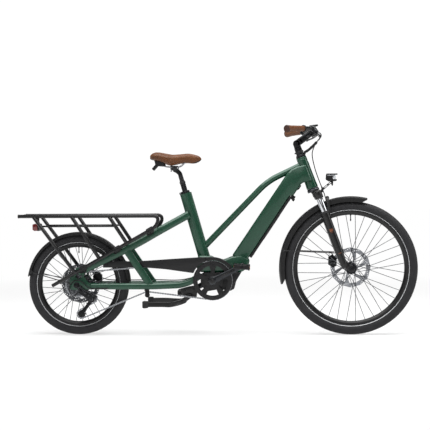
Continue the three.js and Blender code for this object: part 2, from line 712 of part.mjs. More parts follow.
const barSide = (side) => [
  V(BAR.x, side * 26, BAR.z), V(484, side * 60, 1031), V(476, side * 105, 1034), V(462, side * 145, 1035),
  V(436, side * 182, 1034), V(356, side * 284, 1029),
];

// The bar with its clamps, lever bodies, shifter body and display.
function handlebar() {
  const bend = tube([...barSide(RIGHT).reverse(), ...barSide(LEFT)], BAR.radius, BAR.radius, 8);
  const clampZone = acrossRod(BAR.x, BAR.z, -27, 27, 14);
  const leverBody = (side) =>
    join(
      rod(V(478, side * 96, 1034), V(470, side * 122, 1035), 16),
      bar(V(474, side * 110, 1034), V(494, side * 112, 1020), 30, 16, 5),
    );
  const shifter = bar(V(482, -62, 1032), V(474, -84, 1020), 26, 34, 8);
  const display = join(
    plate([P(464, 1049), P(508, 1054), P(507, 1062), P(463, 1057)], -34, 34, 2),
    box(482, 490, -38, -29, 1030, 1055),
    box(482, 490, 29, 38, 1030, 1055),
  );
  return join(bend, clampZone, bothSides(leverBody), shifter, display);
}

function grip(side) {
  const inner = V(434, side * 184.5, 1033.9);
  const outer = V(350, side * 291.5, 1028.5);
  const palm = V(384, side * 248, 1030.5);
  const body = join(rod(inner, outer, 15, 10, 17), rod(palm, outer, 15, 10, 20));
  const [bend, end] = barSide(side).slice(-2);
  const bore = rod(bend.add(V(8, -side * 10, 0.5)), end.add(V(-0.2, side * 0.3, 0)), BAR.radius + 1.2, 10);
  return cut(body, bore);
}

function brakeLever(side) {
  return tube(
    smooth(
      [
        V(500, side * 112, 1015), V(500, side * 140, 1010), V(484, side * 185, 1000),
        V(455, side * 240, 990),
      ],
      6,
    ),
    5, 7, 6,
  );
}

const shiftTrigger = () => bar(V(468, -76, 1001), V(452, -108, 998), 10, 6, 2);

// Hoses and cables: loops from both controls into one sleeve to the headset, and the front brake's
// hose on down to the fork crown.
function cableBundle() {
  const loop = (side) => {
    const route = [[497, 98, 1018], [516, 84, 1014], [522, 50, 1000], [509, 16, 984], [496, 0, 968]];
    return tube(smooth(route.map(([x, y, z]) => V(x, side * y, z)), 7), 3, 3, 5);
  };
  const sleevePath = smooth([V(502, 0, 974), V(480, 0, 952), V(457, 0, 932), steer(23, 0, 18)], 5);
  const sleeve = tube(sleevePath, 7, 7, 6);
  const hose = [
    V(499, 0, 971), V(488, 4, 950), V(478, 9, 915), V(489, 13, 850), V(512, 22, 780), V(529, 30, 738),
  ];
  return cut(join(bothSides(loop), sleeve, tube(smooth(hose, 8), 2.6, 2.6, 5)), quillCup(GAP));
}

// The front brake's hose, from below the fork crown down the left leg to the caliper.
function frontBrakeHose() {
  const route = [
    V(534, 40, 724), steer(47, 44, -214), steer(40, 88, -280), steer(26, 93, -330), steer(18, 93.5, -420),
    steer(8, 93, -500), steer(-12, 88, -540), V(570, 72, 414), V(562, 52, 408),
  ];
  return tube(smooth(route, 15), 2.6, 2.6, 5);
}

const shiftCable = () =>
  tube(
    smooth(
      [
        V(-560, -93.5, 241), V(-600, -94.5, 241), V(-650, -96, 245), V(-684, -95.5, 274),
        V(-712, -94, 283), V(-738, -94, 268), V(-750, -94, 238), V(-738, -93, 208), V(-722, -92, 204),
        V(-713, -92, 214),
      ],
      12,
    ),
    2.6, 2.6, 5,
  );

// ---------------------------------------------------------------- brakes
// A caliper block straddling its disc, cut clear of the disc and of whatever it is bolted to.
function caliper(outline, axle, y, ...clear) {
  const discRoom = acrossRod(axle.x, axle.z, y - 2, y + 2, ROTOR_RADIUS + 2, 40);
  return cut(plate(outline, y - 13, y + 13, 3), discRoom, ...clear);
}

function frontCaliper() {
  const outline = [P(557, 352), P(558, 392), P(576, 402), P(600, 384), P(600, 345), P(580, 336)];
  return caliper(outline, FRONT_AXLE, FRONT_ROTOR_Y, forkLeg(LEG_Y, GAP));
}

function rearCaliper() {
  const outline = [P(-652, 290), P(-640, 318), P(-622, 318), P(-603, 300), P(-603, 268.5), P(-630, 268.5)];
  return caliper(outline, REAR_AXLE, REAR_ROTOR_Y, tube(staySide(LEFT), 12 + GAP, 19 + GAP));
}

// ---------------------------------------------------------------- materials and assembly
const paint = (color, roughness, metalness) =>
  new THREE.MeshStandardMaterial({ color, roughness, metalness });
const green = () => paint(0x1f4a38, 0.35, 0.4);
const black = () => paint(0x1b1b1d, 0.5, 0.2);
const blackPlastic = () => paint(0x202022, 0.6, 0);
const rubber = () => paint(0x2a2a2b, 0.9, 0);
const leather = () => paint(0x8a5230, 0.6, 0);
const chrome = () => paint(0xd8dadc, 0.12, 1);
const steel = () => paint(0x9a9c9e, 0.3, 1);
const lens = () => paint(0x5a2020, 0.3, 0);

const bicycle = new THREE.Group();

function add(name, made, material) {
  const data = made.getMesh();
  const geometry = new THREE.BufferGeometry();
  geometry.setAttribute("position", new THREE.BufferAttribute(new Float32Array(data.vertProperties), 3));
  geometry.setIndex(new THREE.BufferAttribute(new Uint32Array(data.triVerts), 1));
  geometry.computeVertexNormals();
  const mesh = new THREE.Mesh(geometry, material);
  mesh.name = name;
  bicycle.add(mesh);
}

function addPair(name, make, material) {
  add(name + "_right", make(RIGHT), material());
  add(name + "_left", make(LEFT), material());
}

add("head_tube", headTube(), green());
add("down_tube", downTube(), green());
add("battery_pack", batteryPack(), blackPlastic());
add("top_tube", topTube(), green());
add("seat_tube", seatTube(), green());
add("motor_cradle", motorCradle(), green());
add("drive_motor", driveMotor(), black());
addPair("upper_stay", upperStay, green);
addPair("chainstay", chainstay, green);
add("kickstand_mount", kickstandMount(), black());
add("kickstand_legs", kickstandLegs(), black());

addPair("rack_rail", rackRail, black);
addPair("rack_struts", rackStruts, black);
add("rack_deck", rackDeck(), black());
add("tail_light", tailLight(), lens());
add("rear_mudguard", rearMudguard(), blackPlastic());
add("front_mudguard", frontMudguard(), blackPlastic());

add("chain", chain(), steel());
add("chainring", chainring(), black());
addPair("crank", crank, black);
addPair("pedal", pedal, blackPlastic);
add("chain_guard", chainGuard(), blackPlastic());
add("chain_roller", chainRoller(), blackPlastic());
add("cassette", cassette(), steel());
add("derailleur_body", derailleurBody(), black());
add("derailleur_cage", derailleurCage(), black());
add("shift_cable", shiftCable(), rubber());

add("rear_tyre", tyre(REAR_TYRE, REAR_AXLE), rubber());
add("rear_rim", rim(REAR_TYRE, REAR_AXLE), black());
add("rear_hub", rearHub(), steel());
add("rear_rotor", rotor(REAR_AXLE, REAR_ROTOR_Y), steel());
add("rear_caliper", rearCaliper(), black());
add("front_tyre", tyre(FRONT_TYRE, FRONT_AXLE), rubber());
add("front_rim", rim(FRONT_TYRE, FRONT_AXLE), black());
add("front_hub", spokedHub(FRONT_TYRE, FRONT_AXLE, [-28, 28], [-51.7, 51.7], 17, 28), steel());
add("front_rotor", rotor(FRONT_AXLE, FRONT_ROTOR_Y), steel());
add("front_caliper", frontCaliper(), black());

add("seat_clamp", seatClamp(), black());
add("seatpost", seatpost(), black());
add("saddle_rails", saddleRails(), black());
add("saddle", saddle(), leather());

add("fork_crown", forkCrown(), chrome());
add("fork_lowers", forkLowers(), black());
add("headlight", headlight(), black());
add("stem_quill", stemQuill(), black());
add("stem_arm", stemArm(), black());
add("handlebar", handlebar(), black());
addPair("grip", grip, leather);
addPair("brake_lever", brakeLever, steel);
add("shift_trigger", shiftTrigger(), black());
add("cable_bundle", cableBundle(), rubber());
add("front_brake_hose", frontBrakeHose(), rubber());

export default bicycle;
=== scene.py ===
"""The looks of a longtail electric cargo bicycle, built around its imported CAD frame.

Shapes are worked out in millimetres, in the frame's own axes (+X ahead, +Y its left side, +Z up), and
each piece is turned into metres when it is finished.
"""
import json
import math

import bmesh
import bpy
from mathutils import Matrix, Vector


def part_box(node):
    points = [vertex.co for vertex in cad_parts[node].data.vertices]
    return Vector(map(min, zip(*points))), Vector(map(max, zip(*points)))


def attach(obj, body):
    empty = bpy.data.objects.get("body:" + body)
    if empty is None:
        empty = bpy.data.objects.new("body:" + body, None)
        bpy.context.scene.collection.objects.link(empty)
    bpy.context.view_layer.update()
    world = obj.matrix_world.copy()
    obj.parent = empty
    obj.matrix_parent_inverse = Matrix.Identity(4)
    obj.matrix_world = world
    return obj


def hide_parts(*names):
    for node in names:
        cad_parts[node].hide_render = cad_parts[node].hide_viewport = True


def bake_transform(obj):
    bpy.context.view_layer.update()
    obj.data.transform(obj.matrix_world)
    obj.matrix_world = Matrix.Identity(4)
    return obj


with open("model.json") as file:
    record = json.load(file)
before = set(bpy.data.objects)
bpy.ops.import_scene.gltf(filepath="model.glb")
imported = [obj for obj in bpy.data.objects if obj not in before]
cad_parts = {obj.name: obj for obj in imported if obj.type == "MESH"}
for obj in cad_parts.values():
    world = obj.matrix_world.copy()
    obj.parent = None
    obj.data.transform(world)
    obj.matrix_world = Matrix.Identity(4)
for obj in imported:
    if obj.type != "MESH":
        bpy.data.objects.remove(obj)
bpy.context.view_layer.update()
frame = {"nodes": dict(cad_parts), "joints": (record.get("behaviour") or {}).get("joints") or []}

# ------------------------------------------------------------------------------------ camera
CAMERA_AT = Vector((0.360, -6.5, 0.740))
CAMERA_AIM = Vector((-0.016, 0.0, 0.607))
CAMERA_ROLL = math.radians(-0.33)
LENS_MM = 107.3


def make_camera():
    data = bpy.data.cameras.new("camera")
    data.lens = LENS_MM
    data.sensor_width = 36
    camera = bpy.data.objects.new("camera", data)
    bpy.context.scene.collection.objects.link(camera)
    ahead = (CAMERA_AIM - CAMERA_AT).normalized()
    right = ahead.cross(Vector((0, 0, 1))).normalized()
    up = right.cross(ahead)
    rolled = right * math.cos(CAMERA_ROLL) + up * math.sin(CAMERA_ROLL)
    axes = Matrix((rolled, up * math.cos(CAMERA_ROLL) - right * math.sin(CAMERA_ROLL), -ahead))
    camera.matrix_world = Matrix.Translation(CAMERA_AT) @ axes.transposed().to_4x4()
    bpy.context.scene.camera = camera


make_camera()

# ------------------------------------------------------------------------------------ places
METRE = 1000.0  # millimetres
RIGHT, LEFT = -1, 1
SIDES = (RIGHT, LEFT)
NAMED_SIDES = ((RIGHT, "right"), (LEFT, "left"))
SIDE = Vector((0, 1, 0))
UP = Vector((0, 0, 1))
JOINTS = {joint["name"]: joint for joint in frame["joints"]}


def joint_at(name):
    return Vector(JOINTS[name]["pos_m"]) * METRE


def span(node, axis):
    """A node's lowest and highest place along x, y or z (0, 1 or 2)."""
    low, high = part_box(node)
    return low[axis] * METRE, high[axis] * METRE


FRONT_AXLE = joint_at("front_wheel_spin")
REAR_AXLE = joint_at("rear_wheel_spin")
BB = joint_at("crank_spin")
STEER_TOP = joint_at("steer")
STEER_UP = Vector(JOINTS["steer"]["axis"])
STEER_AHEAD = SIDE.cross(STEER_UP)
ELBOW = joint_at("stem_angle")
STAND_PIVOT = joint_at("stand_swing")
PEDAL_AXLE = {RIGHT: joint_at("pedal_right_spin"), LEFT: joint_at("pedal_left_spin")}
SEAT_UP = Vector(JOINTS["seat_height"]["axis"])
SEAT_TOP = Vector((-164.8, 0, 718))  # the seat tube's axis at its top end
BAR = Vector((487, 0, 1029))
BAR_R = 11
FORK_OFFSET = 13.5
LEG_Y = 68
STANCHION_R = 16
STAY_Y = 78
RACK_Y = 103
RACK_Z = 606
RACK_R = 9
CHAIN_Y = -45
LINK = 12.7
GUIDE_PULLEY = Vector((-638, 0, 187))
TENSION_PULLEY = Vector((-696, 0, 108))
CHAIN_ROLLER = Vector((-359, 0, 204))
ROTOR_R = 101.5
SPOKES = 36
FRONT_ROTOR_Y = 42
REAR_ROTOR_Y = 54


def steer(ahead, y, up):
    """A point ahead of the steering axis, sideways, and up along it from the head tube's top."""
    return STEER_TOP + STEER_AHEAD * ahead + SIDE * y + STEER_UP * up


def seat(ahead, y, up):
    """The same for the seat tube's axis and its top end."""
    return SEAT_TOP + SIDE.cross(SEAT_UP) * ahead + SIDE * y + SEAT_UP * up


def polar(centre, radius, angle, y=0.0):
    return Vector((centre.x + radius * math.cos(angle), y, centre.z + radius * math.sin(angle)))


def pitch_radius(teeth):
    return LINK / (2 * math.sin(math.pi / teeth))


# ------------------------------------------------------------------------------------ outlines and paths
def circle(radius, count=24):
    return [(radius * math.cos(i * math.tau / count), radius * math.sin(i * math.tau / count))
            for i in range(count)]


def oval(wide, deep, count=32, power=2.0):
    """Half widths wide and deep; a power over 2 squares it off."""
    points = []
    for x, z in circle(1, count):
        points.append((wide * math.copysign(abs(x) ** (2 / power), x),
                       deep * math.copysign(abs(z) ** (2 / power), z)))
    return points


def rounded_box(wide, deep, corner, arc_steps=5):
    points = []
    for quarter, (sx, sz) in enumerate([(1, 1), (-1, 1), (-1, -1), (1, -1)]):
        for step in range(arc_steps + 1):
            a = (quarter + step / arc_steps) * math.pi / 2
            x = sx * (wide / 2 - corner) + corner * math.cos(a)
            points.append((x, sz * (deep / 2 - corner) + corner * math.sin(a)))
    return points


def faceted(wide, deep, flat_wide, flat_deep, ease=2.4):
    """An eight-sided section: flats of these half lengths, slanted faces, eased corners."""
    quarter = [Vector((wide, flat_deep)), Vector((flat_wide, deep))]
    corners = [Vector((p.x * sx, p.y * sz))
               for sx, sz, way in ((1, 1, 1), (-1, 1, -1), (-1, -1, 1), (1, -1, -1))
               for p in quarter[::way]]
    points = []
    for before, corner, after in zip(corners[-1:] + corners[:-1], corners, corners[1:] + corners[:1]):
        start = corner + (before - corner).normalized() * ease
        end = corner + (after - corner).normalized() * ease
        points += [tuple(start), tuple(corner / 2 + (start + end) / 4), tuple(end)]
    return points


def arc(centre, radius, start, end, count):
    """Points (x, z) along an arc about a centre in the bicycle's plane."""
    return [
        (centre.x + radius * math.cos(start + (end - start) * i / count),
         centre.z + radius * math.sin(start + (end - start) * i / count))
        for i in range(count + 1)
    ]


def sector(centre, inner, outer, start, end, count):
    return arc(centre, outer, start, end, count) + arc(centre, inner, end, start, count)


def hole(centre, radius, count=12):
    return arc(centre, radius, 0, math.tau, count)[:-1]


def at(x, z, y=0.0):
    return Vector((x, y, z))


def flat(points):
    """The (x, z) of each point."""
    return [(p.x, p.z) for p in points]


def rounded(points, reach, count=8):
    """A polyline whose corners are rounded from reach before to reach after each."""
    path = [points[0]]
    for before, corner, after in zip(points, points[1:], points[2:]):
        start = corner + (before - corner).normalized() * reach
        end = corner + (after - corner).normalized() * reach
        for i in range(count + 1):
            t = i / count
            path.append(start * (1 - t) ** 2 + corner * 2 * t * (1 - t) + end * t * t)
    return path + [points[-1]]


def smooth(points, count):
    """A centripetal Catmull-Rom curve through points, as count + 1 points."""
    ends = [points[0] * 2 - points[1], *points, points[-1] * 2 - points[-2]]
    path = []
    for step in range(count + 1):
        t = step / count * (len(points) - 1)
        first = min(int(t), len(points) - 2)
        near = ends[first:first + 4]
        knots = [0.0]
        for a, b in zip(near, near[1:]):
            knots.append(knots[-1] + max((b - a).length, 1e-6) ** 0.5)
        x = knots[1] + (t - first) * (knots[2] - knots[1])

        def between(a, b, low, high):
            return a.lerp(b, (x - knots[low]) / (knots[high] - knots[low]))

        start = between(near[0], near[1], 0, 1)
        middle = between(near[1], near[2], 1, 2)
        end = between(near[2], near[3], 2, 3)
        path.append(between(between(start, middle, 0, 2), between(middle, end, 1, 3), 1, 2))
    return path


# ------------------------------------------------------------------------------------ shape builder
def soften_edges(part, offset, sharp, segments=2):
    """Bevels a bmesh's edges that turn by more than sharp degrees."""
    rim = [e for e in part.edges if len(e.link_faces) == 2 and e.calc_face_angle() > math.radians(sharp)]
    bmesh.ops.bevel(part, geom=rim, offset=offset, segments=segments, profile=0.5, affect="EDGES",
                    clamp_overlap=True)


# The CAD's slot for each material whose name isn't a slot's.
SLOTS = {
    "black_paint": "black_metal", "black_anodised": "black_metal", "chrome": "fork_chrome",
    "satin_plastic": "black_plastic", "display_glass": "black_plastic", "spoke_steel_and_shade": "steel",
    "brown_leather": "tan_leather", "thread": "tan_leather", "amber_lens": "clear_lens",
}


class Shape:
    """Closed forms gathered in one mesh, in millimetres."""

    def __init__(self):
        self.mesh = bmesh.new()

    def skin(self, rings, closed=False):
        rows = [[self.mesh.verts.new(p) for p in ring] for ring in rings]
        pairs = list(zip(rows, rows[1:]))
        if closed:
            pairs.append((rows[-1], rows[0]))
        count = len(rows[0])
        for low, high in pairs:
            for i in range(count):
                j = (i + 1) % count
                self.mesh.faces.new((low[i], low[j], high[j], high[i]))
        if not closed:
            self.mesh.faces.new(rows[0][::-1])
            self.mesh.faces.new(rows[-1])
        return self

    def sweep(self, path, section, ease=0.0, scales=None, side=SIDE):
        """A section of (across, deep) points along a path. ease rounds the two ends over so many mm."""
        path = list(path)
        factors = list(scales or [1.0] * len(path))
        if ease:
            size = min(max(abs(p[0]) for p in section), max(abs(p[1]) for p in section))
            start, end = (path[1] - path[0]).normalized(), (path[-1] - path[-2]).normalized()
            first, last = factors[0], factors[-1]
            near = [(0.0, 1.0), (0.3, 0.45), (1.0, 0.0)]
            path = [path[0] + start * ease * s for s, _ in near] + path[1:-1] + \
                [path[-1] - end * ease * s for s, _ in near[::-1]]
            trim = [1 - ease / size * c for _, c in near]
            factors = [first * t for t in trim] + factors[1:-1] + [last * t for t in trim[::-1]]
        rings = []
        across = side
        for i, point in enumerate(path):
            along = (path[min(i + 1, len(path) - 1)] - path[max(i - 1, 0)]).normalized()
            across = (across - along * across.dot(along)).normalized()
            deep = along.cross(across)
            rings.append([point + (across * a + deep * d) * factors[i] for a, d in section])
        return self.skin(rings)

    def lathe(self, profile, centre, axis=SIDE, steps=48, closed=False):
        """A profile of (radius, along) points turned about an axis through centre."""
        axis = axis.normalized()
        first = axis.cross(UP if abs(axis.z) < 0.9 else Vector((1, 0, 0))).normalized()
        second = axis.cross(first)
        turns = [(math.cos(i * math.tau / steps), math.sin(i * math.tau / steps)) for i in range(steps)]
        rows = []
        for radius, along in profile:
            middle = centre + axis * along
            if radius < 1e-6:
                rows.append([self.mesh.verts.new(middle)])
            else:
                rows.append([self.mesh.verts.new(middle + (first * c + second * s) * radius)
                             for c, s in turns])
        pairs = list(zip(rows, rows[1:]))
        if closed:
            pairs.append((rows[-1], rows[0]))
        for low, high in pairs:
            for i in range(steps):
                j = (i + 1) % steps
                corners = [low[i % len(low)], low[j % len(low)], high[j % len(high)], high[i % len(high)]]
                unique = list(dict.fromkeys(corners))
                if len(unique) > 2:
                    self.mesh.faces.new(unique)
        for row in (rows[0], rows[-1]):
            if not closed and len(row) > 1:
                self.mesh.faces.new(row)
        return self

    def rod(self, start, end, radius, end_radius=None, ease=0.6, steps=24):
        far = radius if end_radius is None else end_radius
        length = (end - start).length
        profile = [(0, 0), (radius - ease, 0), (radius - ease * 0.3, ease * 0.3), (radius, ease)]
        profile += [(far, length - ease), (far - ease * 0.3, length - ease * 0.3), (far - ease, length),
                    (0, length)]
        return self.lathe(profile, start, end - start, steps)

    def across(self, x, z, y0, y1, radius, ease=0.6, steps=24):
        low, high = sorted((y0, y1))
        return self.rod(at(x, z, low), at(x, z, high), radius, None, ease, steps)

    def bar(self, start, end, wide, deep, corner, ease=0.8, side=SIDE):
        return self.sweep([start, end], rounded_box(wide, deep, corner), ease, side=side)

    def tube(self, path, radius, steps=16, ease=0.0):
        return self.sweep(path, circle(radius, steps), ease)

    def ball(self, centre, radius, steps=16):
        half = [(radius * math.sin(i * math.pi / 8), -radius * math.cos(i * math.pi / 8)) for i in range(9)]
        half[0], half[-1] = (0, -radius), (0, radius)
        return self.lathe(half, centre, UP, steps)

    def plate(self, outline, y0, y1, bevel=0.0, holes=(), segments=3, place=None, ease=0.0):
        """An outline of (x, z) points made solid from y0 to y1, its edges rounded over, or with one segment
        cut to a chamfer whose own edges are then eased."""
        part = bmesh.new()
        edges = []
        for loop in [outline, *holes]:
            points = [part.verts.new((x, y0, z)) for x, z in loop]
            edges += [part.edges.new((a, b)) for a, b in zip(points, points[1:] + points[:1])]
        if holes:
            bmesh.ops.triangle_fill(part, use_beauty=True, use_dissolve=False, edges=edges)
        else:
            part.faces.new(list(part.verts))
        pushed = bmesh.ops.extrude_face_region(part, geom=list(part.faces))
        moved = [v for v in pushed["geom"] if isinstance(v, bmesh.types.BMVert)]
        bmesh.ops.translate(part, verts=moved, vec=(0, y1 - y0, 0))
        bmesh.ops.recalc_face_normals(part, faces=part.faces)
        if bevel:
            soften_edges(part, bevel, 35, segments)
        if ease:
            soften_edges(part, ease, 20)
        if place is not None:
            bmesh.ops.transform(part, matrix=place, verts=part.verts)
        return self.take(part)

    def bolt(self, head, outward, radius=3.4, height=3.0, socket=True):
        """A socket-head cap screw standing on head, with its hexagon recess."""
        outward = outward.normalized()
        key = radius * 0.55
        profile = [(0, -0.5), (radius, -0.5), (radius, height - 0.5), (radius - 0.5, height)]
        profile += [(key, height), (key * 0.96, height - 1.8),
                    (0, height - 1.8)] if socket else [(0, height)]
        return self.lathe(profile, head, outward, 18)

    def bolts(self, spots, y, radius, height, sides=SIDES):
        """A bolt at each (x, z) on each side, its head facing outward."""
        for side in sides:
            for x, z in spots:
                self.bolt(at(x, z, side * y), SIDE * side, radius, height)
        return self

    def take(self, part):
        """Adds another bmesh and frees it."""
        kept = bpy.data.meshes.new("part")
        part.to_mesh(kept)
        part.free()
        self.mesh.from_mesh(kept)
        bpy.data.meshes.remove(kept)
        return self

    def cad(self, node, soften, flat_angle=4.0, sharp=30.0):
        """A copy of a CAD node with its flat faces merged and its edges rounded over."""
        part = bmesh.new()
        part.from_mesh(frame["nodes"][node].data)
        bmesh.ops.scale(part, vec=(METRE, METRE, METRE), verts=part.verts)
        bmesh.ops.remove_doubles(part, verts=part.verts, dist=0.01)
        bmesh.ops.dissolve_limit(part, angle_limit=math.radians(flat_angle), verts=part.verts,
                                 edges=part.edges, use_dissolve_boundaries=False)
        bmesh.ops.recalc_face_normals(part, faces=part.faces)
        soften_edges(part, soften, sharp)
        return self.take(part)

    def piece(self, name, body, material, replaces=(), sharp=38.0, ride=True, slot=None):
        """The finished object, in metres, riding on a body, in its material. The slot argument is not used.
        """
        look = material.name.split(".")[0]  # without the number that Blender adds to a name in use
        slot = slot or SLOTS.get(look, look)
        bmesh.ops.recalc_face_normals(self.mesh, faces=self.mesh.faces)
        bmesh.ops.scale(self.mesh, vec=(1 / METRE,) * 3, verts=self.mesh.verts)
        for face in self.mesh.faces:
            face.smooth = True
        for edge in self.mesh.edges:
            edge.smooth = len(edge.link_faces) == 2 and edge.calc_face_angle() < math.radians(sharp)
        data = bpy.data.meshes.new(name)
        self.mesh.to_mesh(data)
        self.mesh.free()
        data.materials.append(material)
        obj = bpy.data.objects.new(name, data)
        bpy.context.scene.collection.objects.link(obj)
        if ride:
            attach(obj, body)
        if replaces:
            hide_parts(*replaces)
        return obj


# ------------------------------------------------------------------------------------ materials
def rgb(red, green, blue):
    """A screen colour from 0 to 255 as the shader's linear colour."""
    levels = [c / 255 for c in (red, green, blue)]
    return tuple(c / 12.92 if c <= 0.04045 else ((c + 0.055) / 1.055) ** 2.4 for c in levels) + (1.0,)


class Graph:
    """A material's nodes, by short calls."""

    def __init__(self, name):
        self.material = bpy.data.materials.new(name)
        self.material.use_nodes = True
        self.tree = self.material.node_tree
        self.shader = self.tree.nodes["Principled BSDF"]
        self.place = self.add("TexCoord").outputs["Object"]

    def put(self, socket, value):
        if isinstance(value, bpy.types.NodeSocket):
            self.tree.links.new(value, socket)
        else:
            socket.default_value = value

    def add(self, kind, sockets=None, **settings):
        node = self.tree.nodes.new("ShaderNode" + kind)
        for key, value in settings.items():
            setattr(node, key, value)
        for key, value in (sockets or {}).items():
            self.put(node.inputs[key], value)
        return node

    def set(self, **sockets):
        for key, value in sockets.items():
            self.put(self.shader.inputs[key.replace("_", " ")], value)

    def noise(self, scale, detail=4.0, stretch=None):
        place = self.place
        if stretch:
            place = self.add("Mapping", {"Vector": self.place, "Scale": stretch}).outputs["Vector"]
        found = self.add("TexNoise", {"Vector": place, "Scale": scale, "Detail": detail, "Roughness": 0.6})
        return found.outputs["Fac"]

    def cells(self, scale, feature="SMOOTH_F1"):
        found = self.add("TexVoronoi", {"Vector": self.place, "Scale": scale}, feature=feature)
        return found.outputs["Distance"]

    def ramp(self, value, low, high, to_low=0.0, to_high=1.0):
        sockets = {"Value": value, "From Min": low, "From Max": high, "To Min": to_low, "To Max": to_high}
        return self.add("MapRange", sockets).outputs["Result"]

    def times(self, a, b):
        node = self.tree.nodes.new("ShaderNodeMath")
        node.operation = "MULTIPLY"
        self.put(node.inputs[0], a)
        self.put(node.inputs[1], b)
        return node.outputs[0]

    def mix(self, factor, a, b):
        node = self.tree.nodes.new("ShaderNodeMix")
        node.data_type = "RGBA"
        for index, value in ((0, factor), (6, a), (7, b)):
            self.put(node.inputs[index], value)
        return node.outputs[2]

    def edges(self, low=0.52, high=0.60):
        """1 on worn convex edges, broken up by a fine noise."""
        sharp = self.ramp(self.add("NewGeometry").outputs["Pointiness"], low, high)
        return self.times(sharp, self.ramp(self.noise(160), 0.42, 0.62))

    def bump(self, height, depth_mm, strength=1.0, under=None):
        sockets = {"Height": height, "Strength": strength, "Distance": depth_mm / METRE}
        if under is not None:
            sockets["Normal"] = under
        return self.add("Bump", sockets).outputs["Normal"]


def finish_of(name, colour, rough, metal=0.0, shade=0.8, mottle=14.0, grain=700.0, depth=0.03, worn=None,
              wear=0.6, coat=0.0, coat_rough=0.1, specular=0.5, spread=0.08, stretch=None):
    """A moulded, painted or machined finish: mottled colour, fine grain, uneven gloss and worn edges."""
    g = Graph(name)
    darker = tuple(c * shade for c in colour[:3]) + (1.0,)
    blotches = g.ramp(g.noise(mottle, 5, stretch), 0.35, 0.65)
    base = g.mix(blotches, darker, colour)
    if worn:
        base = g.mix(g.times(g.edges(), wear), base, worn)
    smears = g.ramp(g.noise(mottle * 2.3, 4, stretch), 0.3, 0.7, rough - spread / 2, rough + spread / 2)
    fine = g.bump(g.noise(grain, 6, stretch), depth)
    g.set(Base_Color=base, Roughness=smears, Metallic=metal, Normal=fine, Coat_Weight=coat,
          Coat_Roughness=coat_rough, Specular_IOR_Level=specular)
    return g.material


def leather(name, colour, dark, rough):
    """Pebbled leather: soft creases between the pebbles, painted shade that darkens them, and colour that
    darkens in patches.
    """
    g = Graph(name)
    pebble = g.cells(1000)
    crease = g.ramp(pebble, 0.12, 0.42, 1.0, 0.0)
    patches = g.ramp(g.noise(16, 5), 0.36, 0.66, 0.45, 1.0)
    base = g.mix(patches, dark, colour)
    # Painted shade: the colour is pulled towards the dark tone in the creases between the pebbles.
    base = g.mix(g.times(g.ramp(pebble, 0.38, 0.62), 0.14), base, dark)
    rubbed = tuple(min(1.0, c * 1.35) for c in colour[:3]) + (1.0,)
    base = g.mix(g.times(g.edges(0.53, 0.62), 0.25), base, rubbed)
    gloss = g.ramp(g.noise(60, 4), 0.3, 0.7, rough - 0.07, rough + 0.09)
    coarse = g.bump(crease, 0.015, 0.5)
    fine = g.bump(g.noise(2600, 4), 0.008, 0.5, coarse)
    g.set(Base_Color=base, Roughness=gloss, Normal=fine, Specular_IOR_Level=0.35)
    return g.material


def lens(name, colour, facets):
    """Moulded lamp lens with prisms behind its face."""
    g = Graph(name)
    prisms = g.cells(facets, "F1")
    base = g.mix(g.ramp(prisms, 0.1, 0.6), tuple(c * 0.45 for c in colour[:3]) + (1.0,), colour)
    g.set(Base_Color=base, Roughness=g.ramp(g.noise(90), 0.3, 0.7, 0.06, 0.14), Coat_Weight=1.0,
          Coat_Roughness=0.03, Normal=g.bump(prisms, 0.5, 0.5))
    return g.material


GREEN = finish_of("green_paint", rgb(13, 66, 45), 0.32, 0.25, 0.86, 7, 420, 0.025, rgb(60, 104, 84), 0.25,
                  0.4, 0.12)
BLACK = finish_of("black_paint", rgb(11, 11, 12), 0.36, 0.0, 0.78, 11, 900, 0.04, rgb(52, 52, 55), 0.35,
                  0.2, 0.25, 0.35)
FORGED = finish_of("black_anodised", rgb(19, 20, 22), 0.32, 0.5, 0.75, 22, 1300, 0.03, rgb(90, 92, 96),
                   0.35, specular=0.35)
CRANK = finish_of("polished_black", rgb(40, 42, 46), 0.22, 0.75, 0.8, 18, 900, 0.02, rgb(150, 152, 156),
                  0.5, 0.3)
PLASTIC = finish_of("black_plastic", rgb(12, 12, 13), 0.50, 0.0, 0.8, 20, 1500, 0.08, rgb(46, 46, 48), 0.35,
                    specular=0.35)
SATIN = finish_of("satin_plastic", rgb(14, 14, 16), 0.42, 0.0, 0.82, 9, 1200, 0.05, rgb(52, 52, 54), 0.35,
                  0.1, 0.3, 0.35)
RUBBER = finish_of("tyre_rubber", rgb(42, 42, 44), 0.72, 0.0, 0.78, 26, 1100, 0.09, rgb(78, 77, 75), 0.45,
                   0.0, 0.1, 0.3)
HOSE = finish_of("cable_rubber", rgb(14, 14, 16), 0.46, 0.0, 0.8, 40, 1600, 0.03, rgb(48, 48, 50), 0.3,
                 specular=0.35)
STEEL = finish_of("steel", rgb(150, 152, 156), 0.28, 1.0, 0.8, 45, 1800, 0.015, rgb(214, 216, 220), 0.5, 0,
                  0.1, 0.5, 0.14)
# Dark spoke steel; the rear brake disc wears it too, as painted shade.
SPOKE_STEEL_AND_SHADE = finish_of("spoke_steel_and_shade", rgb(58, 60, 64), 0.34, 0.85, 0.8, 45, 1500, 0.01, rgb(190, 192, 196), 0.4)
DISC = finish_of("disc_steel", rgb(150, 153, 158), 0.30, 1.0, 0.84, 8, 260, 0.02, rgb(190, 190, 194), 0.4,
                 spread=0.16, stretch=(1, 6, 1))
ALLOY = finish_of("alloy", rgb(150, 152, 156), 0.34, 0.9, 0.86, 28, 900, 0.02, rgb(206, 206, 208), 0.4)
CHROME = finish_of("chrome", rgb(226, 228, 232), 0.07, 1.0, 0.94, 18, 500, 0.004, rgb(240, 240, 244), 0.3,
                   spread=0.05)
COPPER = finish_of("copper_print", rgb(112, 60, 36), 0.38, 0.4, 0.74, 60, 900, 0.02, rgb(176, 122, 92), 0.4)
BAND = finish_of("grey_band", rgb(226, 228, 230), 0.42, 0.15, 0.88, 60, 1400, 0.03, rgb(150, 150, 150), 0.3)
